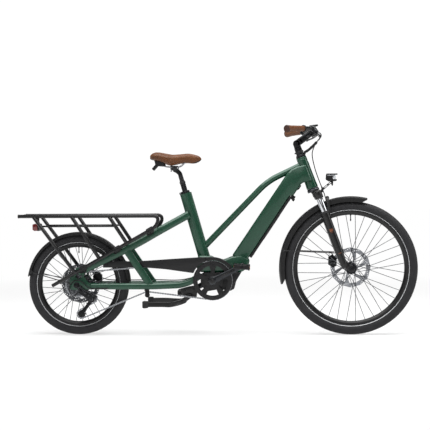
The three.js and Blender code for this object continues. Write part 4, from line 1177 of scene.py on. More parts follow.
def kickstand():
    x, z = STAND_PIVOT.x, STAND_PIVOT.z
    mount = Shape().cad("kickstand_mount", 1.2)
    mount.piece("kickstand_bracket", "frame", BLACK, ["kickstand_mount"])
    bolts = Shape().bolts(((-170, 226), (-124, 234)), 19.6, 5.0, 3.0)
    bolts.piece("kickstand_bracket_bolts", "frame", FORGED, slot="steel")
    legs = Shape()
    legs.across(x, z, -35, 35, 8, 0.8, 32)
    for side in SIDES:
        legs.sweep([at(x, z, side * 27), at(-180, 170, side * 27)], rounded_box(12, 24, 3.5), 1.5)
        arm = smooth([at(-168, 175, side * 24), at(-188, 167.5, side * 42), at(-240, 161, side * 122),
                      at(-272, 162.6, side * 128.5), at(-362, 163, side * 130)], 28)
        legs.sweep(arm, rounded_box(25, 12, 3.5), 1.5, side=UP)
        legs.across(x, z, side * 34.5, side * 37.5, 11, 1.0, 6)
    legs.piece("kickstand_leg_tubes", "stand", BLACK, ["kickstand_legs"])
    feet = Shape()
    for side in SIDES:
        feet.plate([(-375, 146), (-375, 178), (-366, 181), (-346, 180), (-346, 146), (-364, 144)],
                   side * 130 - 8.5, side * 130 + 8.5, 2.5)
    feet.piece("kickstand_feet", "stand", RUBBER, slot="black_plastic")
    spring = Shape()
    start, end = at(-150, 184, 41), at(-196, 168, 40)
    across = (end - start).normalized().cross(SIDE)
    turns, steps = 11, 110
    coil = []
    for i in range(steps + 1):
        a = turns * math.tau * i / steps
        coil.append(start.lerp(end, i / steps) + across * 4.6 * math.cos(a) + SIDE * 4.6 * math.sin(a))
    spring.tube(coil, 1.0, 8)
    spring.piece("kickstand_spring", "stand", STEEL)


# ------------------------------------------------------------------------------------ rack and guards
def rack():
    nose = at(-292, RACK_Z)
    for side, name in NAMED_SIDES:
        y = side * RACK_Y
        corners = [at(-1006.5, RACK_Z, y), at(nose.x, RACK_Z, y), at(-303, 554, y), at(-835, 255, y)]
        rail = Shape()
        rail.tube(rounded(corners, 30, 12), RACK_R, 32, 2.0)
        rail.piece("rack_rail_" + name + "_tube", "frame", BLACK, ["rack_rail_" + name])
        struts = Shape()
        for top_x, foot_x, foot_z in ((-928, -716, 318), (-734, -596, 396), (-544, -457, 472)):
            struts.tube([at(top_x, RACK_Z - 2, y), at(foot_x, foot_z, y)], RACK_R + 0.4, 28, 1.5)
        struts.tube([at(-892, 555, side * 96), at(-512, 555, side * 96)], 4.5, 20, 1.2)
        struts.piece("rack_struts_" + name + "_tubes", "frame", BLACK, ["rack_struts_" + name])
        clamps = Shape()
        for x, z, inner in ((-337, 535, 66), (-504, 441, 76), (-677, 344, 82)):
            rail_at = at(x, z, y)
            stay_at = at(x - 4, z - 20, side * inner)
            clamps.sweep([rail_at, rail_at.lerp(stay_at, 0.5), stay_at], rounded_box(36, 18, 5), 2,
                         side=at(0.87, 0.49))
            band_way = at(-0.87, -0.49)
            clamps.lathe([(8.6, -17), (12.6, -17), (13.6, -16), (13.6, 16), (12.6, 17), (8.6, 17)], rail_at,
                         band_way, 32, closed=True)
        clamps.piece("rack_clamps_" + name, "frame", PLASTIC)
        bolts = Shape()
        for x, z in ((-337, 535), (-504, 441), (-677, 344)):
            for step in (-8, 8):
                bolts.bolt(at(x + 0.87 * step, z + 0.49 * step, y + side * 13.0), SIDE * side, 3.4, 2.0)
        bolts.piece("rack_clamp_bolts_" + name, "frame", FORGED, slot="steel")
        caps = Shape()
        caps.rod(at(-1006.4, RACK_Z, y), at(-1000, RACK_Z, y), 9.6, None, 1.6, 28)
        caps.piece("rack_end_cap_" + name, "frame", PLASTIC)
    deck = Shape()
    inside = RACK_Y - RACK_R + 2
    for x in (-985, -925, -735, -540, -335):
        deck.across(x, RACK_Z, -inside, inside, 6)
    for y in (-48, 0, 48):
        deck.sweep([at(-985, RACK_Z + 7.5, y), at(-660, RACK_Z + 7.5, y), at(-335, RACK_Z + 7.5, y)],
                   rounded_box(18, 4, 1.6), 1.2)
    deck.piece("rack_deck_tubes", "frame", BLACK, ["rack_deck"])
    rivets = Shape()
    for x in (-985, -925, -735, -540, -335):
        for y in (-48, 0, 48):
            if x not in (-985, -335):
                rivets.lathe([(0, 0), (4, 0), (3.2, 1.0), (1.6, 1.4), (0, 1.5)], at(x, RACK_Z + 9.2, y), UP,
                             20)
    rivets.piece("rack_deck_rivets", "frame", FORGED, slot="steel")


def tail_light():
    shell = Shape()
    outline = [(-921, 530), (-921, 566), (-911, 566), (-908, 545), (-917, 529)]
    shell.plate(outline, -38, 38, 2, segments=4)
    shell.bar(at(-925, 560), at(-925, 601), 16, 14, 3)
    shell.piece("tail_light_housing", "frame", PLASTIC, ["tail_light"])
    glass = Shape().plate([(-946.5, 536), (-946.5, 562), (-938, 566.6), (-920, 566.6), (-920, 531),
                           (-937, 530)],
                          -37, 37, 2.6, segments=4)
    glass.piece("tail_light_lens", "frame", RED_LENS)


def mudguard(name, body, axle, outer, half, skirt, start, end):
    """A thin crowned band over the tyre, with skirts that run out towards both tips."""
    crown = [(half * (i / 8 - 1), 8.5 * (i / 8 - 1) ** 2) for i in range(17)]
    rings = []
    steps = int((end - start) / 1.5)
    for k in range(steps + 1):
        angle = math.radians(start + (end - start) * k / steps)
        deep = 9.5 + (skirt - 9.5) * min(1.0, min(k, steps - k) / 2.5)
        trim = {0: 0.90, 1: 0.97}.get(min(k, steps - k), 1.0)
        over = [(-half, deep), (-half, deep * 0.6 + 4), *crown, (half, deep * 0.6 + 4), (half, deep)]
        under = [(y - math.copysign(min(abs(y), 1.9), y),
                  drop + (0 if abs(y) > half - 0.1 and drop > 9 else 1.9))
                 for y, drop in over[::-1]]
        rings.append([polar(axle, outer - drop, angle, y * trim) for y, drop in over + under])
    return Shape().skin(rings).piece(name + "_band", body, PLASTIC, [name], sharp=50)


def mudguards():
    mudguard("front_mudguard", "sliding_fork", FRONT_AXLE, 363.0, 33, 29, 76.5, 193)
    mudguard("rear_mudguard", "frame", REAR_AXLE, 267.0, 33, 17, 3, 171)
    front, rear = Shape(), Shape()
    for side in SIDES:
        front.tube(smooth([at(331, 427, side * 34), at(344, 426, side * 38), at(588, 415, side * 60)], 16),
                   2.4, 12, 0.8)
        front.bar(at(330, 419, side * 33.5), at(332, 434, side * 33.5), 4, 14, 1.5)
        rear.tube([at(-958, 321, side * 34), at(-758, 268, side * 76)], 2.4, 12, 0.8)
        rear.bar(at(-959, 313, side * 34.5), at(-955, 328, side * 34.5), 4, 14, 1.5)
        rear.across(-752, 266.5, side * 73.5, side * 84, 5.4, 0.8, 20)
    front.piece("front_mudguard_stays", "sliding_fork", BLACK)
    rear.piece("rear_mudguard_stays", "frame", BLACK)
    bridge = Shape()
    bridge.sweep([at(-546, 399, -66), at(-546, 399, 66)], rounded_box(16, 9, 3), 1, side=at(1, 0))
    bridge.bar(at(-470, 372, 0), at(-548, 401, 0), 24, 4, 1.5)
    bridge.piece("rear_mudguard_bridge", "frame", BLACK)


# ------------------------------------------------------------------------------------ fork and front end
def fork():
    crown = Shape()
    for side in SIDES:
        top = steer(FORK_OFFSET, side * LEG_Y, -226)
        profile = [(16.5, 0), (20.6, 0), (22, 2), (22, 30), (20.8, 37), (17.5, 41.5), (11, 43), (0, 43.3)]
        crown.lathe([(0, 0), *profile], top, STEER_UP, 48)
    crown.sweep([steer(8, -LEG_Y - 6, -204), steer(8, -40, -199), steer(7, 0, -194), steer(8, 40, -199),
                 steer(8, LEG_Y + 6, -204)], oval(20, 13, 40, 3), 2, side=STEER_AHEAD)
    crown.rod(steer(0, 0, -190), steer(0, 0, -60), 14.3, 14.3, 1, 32)
    crown.piece("fork_crown_casting", "steering", BLACK, ["fork_crown"])
    race = Shape()
    race.lathe([(14, -184), (29, -184), (31, -181), (31, -173), (29.8, -171), (28.6, -170.6),
                (28.6, -167.4), (27.6, -165.4), (14, -165.4)], STEER_TOP, STEER_UP, 64, closed=True)
    race.piece("headset_lower_cup", "steering", SPOKE_STEEL_AND_SHADE, sharp=30, slot="alloy")
    legs = Shape()
    for side in SIDES:
        legs.rod(steer(FORK_OFFSET, side * LEG_Y, -420), steer(FORK_OFFSET, side * LEG_Y, -205),
                 STANCHION_R, None, 1, 64)
    legs.piece("fork_stanchions", "steering", CHROME)
    knobs = Shape()
    knobs.lathe([(0, 0), (12, 0), (12.8, 1), (12.2, 6), (10, 7.6), (0, 8)],
                steer(FORK_OFFSET, -LEG_Y, -183.4), STEER_UP, 40)
    knobs.lathe([(0, 0), (11, 0), (11.6, 1), (10.6, 4), (0, 4.4)], steer(FORK_OFFSET, LEG_Y, -183.4),
                STEER_UP, 40)
    for k in range(12):
        angle = k * math.tau / 12
        spot = steer(FORK_OFFSET + 12 * math.cos(angle), -LEG_Y + 12 * math.sin(angle), -181.4)
        knobs.rod(spot, spot + STEER_UP * 5, 1.5, None, 0.5, 8)
    knobs.piece("fork_top_caps", "steering", PLASTIC)

    lowers = Shape()
    for side in SIDES:
        foot = steer(FORK_OFFSET, side * LEG_Y, 0)
        profile = [
            (16.4, -318), (16.4, -303), (19.4, -303), (21, -304.6), (21.6, -312), (21.6, -330),
            (20.8, -336), (20.6, -380),
            (20.9, -470), (19.6, -515), (17.2, -572), (16.0, -590), (12, -596), (0, -597),
        ]
        lowers.lathe([(0, -318), *profile], foot, STEER_UP, 56)
        lowers.sweep([steer(FORK_OFFSET - 4, side * 66, -560), steer(28, side * 65, -596),
                      steer(42, side * 64, -612)],
                     rounded_box(20, 30, 8), 2.5)
        lowers.across(FRONT_AXLE.x, FRONT_AXLE.z, side * 52.2, side * 78, 16, 2.2, 48)
    half = [(24, 64, -322), (36, 60, -298), (45, 53, -268), (51, 45, -247), (53.5, 32, -238)]
    arch = [steer(a, -y, u) for a, y, u in half] + [steer(53.8, 0, -236.5)] + [steer(a, y, u)
                                                                               for a, y, u in half[::-1]]
    lowers.sweep(smooth(arch, 44), oval(9.2, 7.6, 28, 2.8), 0)
    lowers.piece("fork_lower_casting", "sliding_fork", BLACK, ["fork_lowers"])
    seals = Shape()
    for side in SIDES:
        foot = steer(FORK_OFFSET, side * LEG_Y, 0)
        seals.lathe([(16.2, -305), (20.4, -305), (21.2, -303), (20.6, -298.4), (17.4, -294.6),
                     (16.2, -294)], foot, STEER_UP,
                    56, closed=True)
    seals.piece("fork_dust_seals", "sliding_fork", RUBBER, slot="black_plastic")
    bands = Shape()
    for side in SIDES:
        for low, high, radius in ((-401, -387, 20.8), (-407, -405, 20.8), (-518, -515.5, 19.6)):
            rings = []
            for up in (low, high):
                outer = [(radius + 0.2, math.radians(a)) for a in range(-24, 25, 8)]
                ring = outer + [(radius - 1.5, a) for _, a in outer[::-1]]
                rings.append([steer(FORK_OFFSET + r * math.sin(a), side * (LEG_Y + r * math.cos(a)), up)
                              for r, a in ring])
            bands.skin(rings)
    bands.piece("fork_leg_bands", "sliding_fork", COPPER, sharp=30)
    axle = Shape()
    for side in SIDES:
        axle.across(FRONT_AXLE.x, FRONT_AXLE.z, side * 78, side * 81.6, 10.5, 0.9, 40)
        axle.across(FRONT_AXLE.x, FRONT_AXLE.z, side * 81, side * 84.4, 7.0, 0.7, 6)
    axle.piece("front_axle_ends", "sliding_fork", FORGED, slot="steel")


def headlight():
    """A boxy lamp whose lens shows from the side, between a visor and a lower lip, on a slotted bracket."""
    shell = Shape()
    shell.plate([(545, 784), (547, 808), (551, 813.8), (581, 813.8), (581, 775), (560, 773.6)], -26, 26, 3,
                segments=4)
    shell.plate([(549, 806.6), (549, 814), (604, 814), (604, 807.6)], -26, 26, 1.4)
    shell.plate([(562, 773.8), (562, 784), (599, 785.4), (602, 781), (596, 775.4)], -25.6, 25.6, 1.4)
    for k in range(5):
        x = 552 + k * 5
        shell.bar(at(x, 779, -25.8), at(x + 1, 799, -25.8), 1.6, 2.2, 0.6, 0.4)
        shell.bar(at(x, 779, 25.8), at(x + 1, 799, 25.8), 1.6, 2.2, 0.6, 0.4)
    shell.piece("headlight_shell", "steering", PLASTIC, ["headlight"])
    glass = Shape()
    glass.plate([(578, 783), (578, 808), (592, 808), (596.4, 798), (595, 783)], -23.6, 23.6, 2.2,
                segments=4)
    glass.piece("headlight_lens", "steering", CLEAR_LENS)
    bezel = Shape()
    for side in SIDES:
        bezel.plate([(553, 802.4), (553, 807.4), (589, 807.4), (587, 802.4)], side * 26 - 0.7,
                    side * 26 + 0.7, 0.4)
    bezel.bar(at(603.4, 810.6, -22), at(603.4, 810.6, 22), 3, 1.6, 0.5, side=Vector((1, 0, 0)))
    bezel.piece("headlight_bezel", "steering", ALLOY)
    arm = Shape()
    foot, head = steer(42, 0, -190), at(575, 773)
    apart = (head - foot).normalized().cross(SIDE) * 3.6
    for side in SIDES:
        for step in (-1, 1):
            offset = apart * step + SIDE * side * 8
            arm.tube([foot + offset, head + offset], 1.8, 14, 0.4)
    for part in (0.18, 0.62):
        spot = foot.lerp(head, part)
        arm.across(spot.x, spot.z, -9.4, 9.4, 5.0, 0.8, 24)
    arm.rod(steer(36.5, 0, -194), steer(43.4, 0, -194), 8.8, 8.8, 1.2, 32)
    arm.plate([(570, 776), (583, 776), (582, 757), (578, 750), (574, 758)], -10.4, 10.4, 1.4)
    arm.piece("headlight_bracket", "steering", FORGED, slot="steel")


def stem():
    quill = Shape()
    end = at(405, 944)
    quill.lathe([(0, 0.4), (24.6, 0.4), (25.4, 1.6), (24.8, 6), (21.6, 13), (20.2, 15.6), (0, 15.6)],
                STEER_TOP, STEER_UP, 64)
    quill.rod(steer(0, 0, 10), end, 19, 18.6, 1.5, 56)
    quill.sweep([steer(0, 0, 38), at(402, 955), ELBOW], rounded_box(21.4, 35, 7), 1)
    quill.across(ELBOW.x, ELBOW.z, -10.8, 10.8, 18, 1, 48)
    quill.piece("stem_quill_column", "steering", FORGED, ["stem_quill"])
    collar = Shape()
    collar.lathe([(19, 24), (21.4, 24), (22, 25), (22, 32), (21.4, 33), (19, 33)], STEER_TOP, STEER_UP, 56,
                 closed=True)
    collar.bolt(steer(-22, 0, 28.5), -STEER_AHEAD, 3.2, 3)
    collar.piece("stem_clamp_collar", "steering", BLACK)

    arm = Shape()
    along = (BAR - ELBOW).normalized()
    deep = Vector((-along.z, 0, along.x))

    def spot(distance, y=0.0, rise=0.0):
        return ELBOW + along * distance + SIDE * y + deep * rise

    for side in SIDES:
        arm.across(ELBOW.x, ELBOW.z, side * 11.3, side * 22, 18, 1.6, 48)
        arm.bar(spot(0, side * 16.65), spot(32, side * 16.65), 10.7, 34, 4)
    arm.sweep([spot(21), spot(40), spot(70), spot(92)], rounded_box(44, 34, 9), 1.5, [1.0, 1.0, 0.93, 0.93])
    arm.across(BAR.x, BAR.z, -22, 22, 18.6, 1.6, 56)
    arm.piece("stem_arm_forging", "cockpit", FORGED, ["stem_arm"])
    face = Shape()
    for side in SIDES:
        face.bolt(at(ELBOW.x, ELBOW.z, side * 21.8), SIDE * side, 8.2, 2.4)
        for rise in (-12.5, 12.5):
            face.bolt(BAR + along * 15.5 + SIDE * side * 13 + deep * rise, along, 3.2, 3.2)
    face.piece("stem_bolts", "cockpit", FORGED, slot="steel")


def bar_side(side):
    return [
        at(487, 1029, side * 26), at(484, 1031, side * 60), at(476, 1034, side * 105),
        at(462, 1035, side * 145), at(436, 1034, side * 182), at(356, 1029, side * 284),
    ]


def handlebar():
    bend = Shape()
    bend.tube(smooth([*bar_side(RIGHT)[::-1], *bar_side(LEFT)], 80), BAR_R, 32, 1.2)
    bend.across(BAR.x, BAR.z, -27, 27, 14, 1.8, 40)
    bend.piece("handlebar_tube", "cockpit", BLACK, ["handlebar"])
    for side, name in NAMED_SIDES:
        perch = Shape()
        perch.rod(at(478, 1034, side * 96), at(470, 1035, side * 122), 15.6, None, 2.2, 40)
        perch.sweep([at(472, 1036, side * 110), at(484, 1028, side * 111), at(496, 1017, side * 112)],
                    rounded_box(28, 17, 6), 2.5)
        perch.sweep([at(486, 1026, side * 90), at(492, 1024, side * 108), at(494, 1020, side * 122)],
                    oval(8, 9, 28, 2.6), 3)
        perch.piece("brake_perch_" + name, "cockpit", FORGED)
        screws = Shape()
        screws.bolt(at(494, 1030, side * 112), Vector((0.5, 0, 0.86)), 3.6, 2.4)
        screws.bolt(at(476, 1049, side * 104), UP, 2.8, 2.2)
        screws.piece("brake_perch_bolts_" + name, "cockpit", STEEL)
    pod = Shape()
    pod.bar(at(483, 1033, -62), at(474, 1020, -84), 26, 32, 9, 3)
    pod.rod(at(486, 1031, -52), at(481, 1032, -72), 14.6, None, 2, 36)
    pod.piece("shifter_pod", "cockpit", PLASTIC)
    window = Shape().bar(at(489, 1042, -64), at(484, 1042.5, -76), 9, 3, 1.2)
    window.piece("shifter_window", "cockpit", DISPLAY)
    screen = Shape()
    screen.plate([(463.4, 1049), (508, 1054), (507.4, 1060.6), (462.8, 1055.6)], -34, 34, 2.4, segments=4)
    for y in (-33.5, 33.5):
        screen.sweep([at(486, 1029, y), at(486, 1052, y)], rounded_box(9, 8, 2.5), 0.8)
        screen.across(BAR.x - 1, BAR.z + 1, y - 4.4, y + 4.4, 14.2, 1.2, 36)
    screen.piece("display_case", "cockpit", PLASTIC)
    glass = Shape().plate([(466.5, 1055.6), (504.5, 1059.9), (504.3, 1061.6), (466.3, 1057.3)], -30, 30,
                          0.7)
    glass.piece("display_glass", "cockpit", DISPLAY)
    keys = Shape()
    keys.rod(at(481, 1033, 68), at(475, 1034, 88), 14.2, None, 2, 36)
    keys.bar(at(470, 1046, 70), at(463, 1043, 92), 16, 12, 4, 2.5)
    keys.piece("assist_remote", "cockpit", PLASTIC)
    buttons = Shape()
    for k in range(2):
        spot = at(464.5 - 3.4 * k, 1050.0 - 1.2 * k, 75 + 9 * k)
        buttons.lathe([(0, 0), (3.4, 0), (3.2, 1.2), (1.6, 1.9), (0, 2.0)], spot, Vector((-0.35, 0, 0.94)),
                      24)
    buttons.piece("assist_buttons", "cockpit", BAND)


def levers():
    for side, name, body in ((RIGHT, "brake_lever_right", "lever_r"),
                             (LEFT, "brake_lever_left", "lever_l")):
        route = [at(500, 1015, side * 112), at(500, 1010, side * 140), at(484, 1000, side * 185),
                 at(455, 990, side * 240)]
        path = smooth(route, 40)
        scales = [1.15 - 0.32 * min(1, i / 8) + (0.18 if i > 37 else 0) for i in range(41)]
        blade = Shape().sweep(path, oval(4.4, 7.4, 28, 2.6), 1.2, scales)
        blade.ball(path[-1], 6.2, 20)
        blade.rod(at(500, 1022, side * 113), at(500, 1008, side * 113), 7.2, None, 1.2, 28)
        blade.piece(name + "_blade", body, FORGED, [name])
    trigger = Shape()
    trigger.sweep(smooth([at(470, 1004, -72), at(463, 999.5, -88), at(452, 998, -108)], 14),
                  oval(5.4, 3.4, 24, 2.6), 1.5)
    trigger.sweep(smooth([at(476, 1006, -74), at(480, 1000, -86), at(478, 996, -98)], 12),
                  oval(4.2, 2.8, 24, 2.6), 1.2)
    trigger.piece("shift_trigger_lever", "shifter", PLASTIC, ["shift_trigger"])


def cables():
    loops = Shape()
    for side in SIDES:
        route = [(497, 98, 1018), (516, 84, 1014), (522, 50, 1000), (509, 16, 984), (496, 0, 968)]
        loops.tube(smooth([at(x, z, side * y) for x, y, z in route], 40), 2.6, 14)
        loops.rod(at(495.5, 1018.3, side * 99), at(503, 1017, side * 94.5), 3.8, 3.1, 0.6, 16)
    extra = [(486, 66, 1018), (512, 58, 1008), (520, 34, 992), (508, 10, 978), (495, 3, 966)]
    for side, reach in ((RIGHT, 1.0), (LEFT, 1.08)):
        loops.tube(smooth([at(x - 3, z, side * y * reach) for x, y, z in extra], 36), 2.2, 14)
    sleeve_path = smooth([at(502, 974), at(480, 952), at(457, 932), steer(23, 0, 18)], 30)
    loops.tube(sleeve_path, 6.6, 20, 1.5)
    for t in (3, 13, 23):
        loops.lathe([(6.4, -2.2), (7.8, -1.6), (7.8, 1.6), (6.4, 2.2)], sleeve_path[t],
                    sleeve_path[t + 1] - sleeve_path[t], 28, closed=True)
    loops.sweep([steer(19, 0, 10), steer(24, 0, 19)], oval(8.4, 8.4, 28), 2)
    bundle = loops.piece("cable_loops", "steering", HOSE, ["cable_bundle"], ride=False)
    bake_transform(bundle)
    hose = Shape()
    route = [at(499, 971), at(488, 950, 4), at(478, 915, 9), at(489, 850, 13), at(512, 780, 22),
             at(529, 738, 30)]
    hose.tube(smooth(route, 60), 2.5, 14)
    hose.sweep([at(525.5, 747, 28.5), at(530, 735, 30.6)], oval(4.2, 4.2, 20), 1)
    upper = hose.piece("front_hose_upper", "steering", HOSE, ride=False)
    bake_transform(upper)
    lower = Shape()
    route = [
        at(529, 738, 30), at(534, 724, 36), steer(47, 44, -214), steer(40, 88, -280), steer(26, 93, -330),
        steer(18, 93.5, -420), steer(8, 93, -500), steer(-12, 88, -540), at(570, 414, 72), at(562, 408, 52),
    ]
    lower.tube(smooth(route, 110), 2.5, 14)
    for up in (-352, -470):
        lower.bar(steer(24, 84, up), steer(24, 96.5, up), 7, 9, 2, side=STEER_AHEAD)
    brake_hose = lower.piece("front_hose_lower", "sliding_fork", HOSE, ["front_brake_hose"], ride=False)
    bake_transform(brake_hose)
    rear = Shape()
    route = [
        at(-60, 318, 38), at(-118, 292, 52), at(-196, 274, 54), at(-330, 272, 92), at(-480, 271, 93),
        at(-590, 276, 92), at(-634, 300, 84), at(-632, 322, 66), at(-626, 320, 56),
    ]
    rear.tube(smooth(route, 90), 2.5, 14)
    for x in (-360, -500):
        rear.sweep([at(x, 262, 86), at(x, 274, 93)], rounded_box(8, 7, 2), 1, side=at(1, 0))
    rear.piece("rear_brake_hose", "frame", HOSE)


def calipers():
    front = Shape().cad("front_caliper", 1.4)
    front.piece("front_caliper_body", "sliding_fork", FORGED, ["front_caliper"], sharp=50)
    trim = Shape().bolts(((568, 360), (586, 352), (590, 378)), 54.4, 4.2, 2.4, [LEFT])
    trim.bolt(at(563, 398, 50), Vector((-0.8, 0, 0.6)), 4.4, 3.0)
    trim.piece("front_caliper_bolts", "sliding_fork", STEEL)
    rear = Shape().cad("rear_caliper", 1.2)
    rear.piece("rear_caliper_body", "frame", FORGED, ["rear_caliper"], sharp=50)
    trim = Shape().bolts(((-634, 300), (-614, 282), (-634, 282)), 66.4, 4.0, 2.2, [LEFT])
    trim.piece("rear_caliper_bolts", "frame", STEEL)


# ------------------------------------------------------------------------------------ saddle and grips
def evaluated(obj):
    """The object's mesh with its modifiers applied."""
    graph = bpy.context.evaluated_depsgraph_get()
    return bpy.data.meshes.new_from_object(obj.evaluated_get(graph), depsgraph=graph)


def apply_modifier(obj, kind, **settings):
    modifier = obj.modifiers.new(kind.lower(), kind)
    for key, value in settings.items():
        setattr(modifier, key, value)
    made = evaluated(obj)
    obj.modifiers.clear()
    obj.data = made


def inflate(obj, pressure, cap, frames=20):
    """Swells a remeshed form as stuffed cloth, holding its flat underside, and caps each point's travel."""
    rest = [v.co.copy() for v in obj.data.vertices]
    held = obj.vertex_groups.new(name="underside")
    held.add([v.index for v in obj.data.vertices if v.normal.z < -0.55], 1.0, "REPLACE")
    modifier = obj.modifiers.new("cloth", "CLOTH")
    cloth = modifier.settings
    cloth.quality = 6
    cloth.mass = 0.3
    cloth.tension_stiffness = cloth.compression_stiffness = 25
    cloth.shear_stiffness = 12
    cloth.bending_stiffness = 4
    cloth.use_pressure = True
    cloth.uniform_pressure_force = pressure
    cloth.vertex_group_mass = held.name
    cloth.effector_weights.gravity = 0
    modifier.point_cache.frame_end = frames
    scene = bpy.context.scene
    for number in range(1, frames + 1):
        scene.frame_set(number)
    swollen = evaluated(obj)
    obj.modifiers.clear()
    for vertex, home in zip(swollen.vertices, rest):
        travel = vertex.co - home
        if travel.length > cap:
            vertex.co = home + travel.normalized() * cap
    obj.data = swollen
    obj.vertex_groups.clear()
    scene.frame_set(1)


def soften(obj, rounds):
    """Relaxes a mesh's vertices towards their neighbours."""
    mesh = bmesh.new()
    mesh.from_mesh(obj.data)
    for _ in range(rounds):
        bmesh.ops.smooth_vert(mesh, verts=mesh.verts, factor=0.5, use_axis_x=True, use_axis_y=True,
                              use_axis_z=True)
    mesh.to_mesh(obj.data)
    mesh.free()


def soft_piece(name, node, body, voxel_mm, rounds, pressure, cap_mm, form=None):
    """A soft solid, the CAD's or another form, in leather: remeshed, rounded, swollen by simulation."""
    data = bpy.data.meshes.new(name)
    if form:
        bmesh.ops.recalc_face_normals(form.mesh, faces=form.mesh.faces)
        bmesh.ops.scale(form.mesh, vec=(1 / METRE,) * 3, verts=form.mesh.verts)
        form.mesh.to_mesh(data)
        form.mesh.free()
    else:
        data = frame["nodes"][node].data.copy()
    obj = bpy.data.objects.new(name, data)
    bpy.context.scene.collection.objects.link(obj)
    apply_modifier(obj, "REMESH", mode="VOXEL", voxel_size=voxel_mm / METRE)
    soften(obj, rounds)
    inflate(obj, pressure, cap_mm / METRE)
    soften(obj, 2)
    apply_modifier(obj, "SUBSURF", levels=1, render_levels=1)
    obj.data.materials.clear()
    obj.data.materials.append(LEATHER)
    for face in obj.data.polygons:
        face.use_smooth = True
    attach(obj, body)
    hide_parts(node)
    return obj


def surface_point(obj, start, way):
    """Where a ray from start meets the object, in millimetres, or None."""
    hit, spot, _, _ = obj.ray_cast(start / METRE, way)
    return spot * METRE if hit else None


def stitches(shape, path, length, gap, radius):
    """Short raised threads along a path."""
    travelled = 0.0
    for a, b in zip(path, path[1:]):
        travelled += (b - a).length
        if travelled >= length + gap:
            travelled = 0.0
            along = (b - a).normalized()
            shape.rod(b - along * length / 2, b + along * length / 2, radius, None, radius * 0.45, 6)


def saddle_loft(narrow, top_drop, foot_drop=0.0):
    """Rounded sections from the saddle's tail to its nose: place, half width, top and foot of each."""
    stations = [
        (-341, 58, 908, 891), (-334, 80, 918, 887), (-314, 92, 927, 884), (-286, 92, 925, 878),
        (-250, 77, 917, 860), (-215, 50, 914, 862), (-180, 33, 917, 869), (-150, 26, 920, 870),
        (-120, 22, 915, 868), (-96, 18, 907, 876), (-84, 10, 898, 886),
    ]
    line = smooth([Vector((x, half, top)) for x, half, top, _ in stations], 50)
    feet = smooth([Vector((x, half, foot)) for x, half, _, foot in stations], 50)
    rings = []
    for high, low in zip(line, feet):
        foot = low.z - foot_drop
        top = max(high.z - top_drop, foot + 5)
        rings.append([at(high.x, (top + foot) / 2 + z, y) for y, z in
                      oval(high.y * narrow, (top - foot) / 2, 40, 2.7)])
    return Shape().skin(rings)


def saddle():
    form = saddle_loft(0.98, 0.0)
    cover = soft_piece("saddle_cover", "saddle", "seat", 3.0, 8, 4.0, 3.0, form)
    line = smooth([at(-334, 903), at(-300, 905), at(-262, 898), at(-226, 893), at(-190, 896), at(-150, 899),
                   at(-102, 896)], 220)
    piping, thread = Shape(), Shape()
    for side in SIDES:
        seam, above = [], []
        for p in line:
            for rise, found in ((0.0, seam), (4.0, above)):
                spot = surface_point(cover, Vector((p.x, side * 140, p.z + rise)), Vector((0, -side, 0)))
                if spot:
                    found.append(spot)
        piping.tube(seam, 1.1, 8)
        stitches(thread, [s + SIDE * side * 0.1 for s in above], 2.6, 1.6, 0.42)
    piping.piece("saddle_piping", "seat", LEATHER)
    thread.piece("saddle_stitching", "seat", THREAD)

    base = saddle_loft(0.80, 24.0, -1.0)
    base.piece("saddle_base", "seat", PLASTIC)

    rails = Shape()
    for side in SIDES:
        path = smooth(
            [
                at(-318, 884, side * 34), at(-290, 866, side * 28), at(-262, 853.5, side * 22),
                at(-225, 852, side * 22), at(-190, 855, side * 22), at(-172, 870, side * 16),
                at(-150, 884, side * 9), at(-128, 886, side * 5),
            ],
            48,
        )
        rails.tube(path, 3.5, 20)
    rails.piece("saddle_rail_wires", "seat", STEEL, ["saddle_rails"])
    bracket = Shape()
    bracket.plate([(-322, 890), (-272, 890), (-268, 854), (-300, 856), (-316, 868)], -42, 42, 4, segments=4)
    bracket.bar(at(-304, 868), at(-331, 838), 34, 16, 5, 3)
    bracket.plate([(-140, 878), (-140, 892), (-110, 892), (-112, 880)], -12, 12, 3)
    for y in (-30, -10, 10, 30):
        bracket.bar(at(-318, 869, y), at(-296, 857, y), 3, 4, 1)
    bracket.piece("saddle_bracket", "seat", PLASTIC)


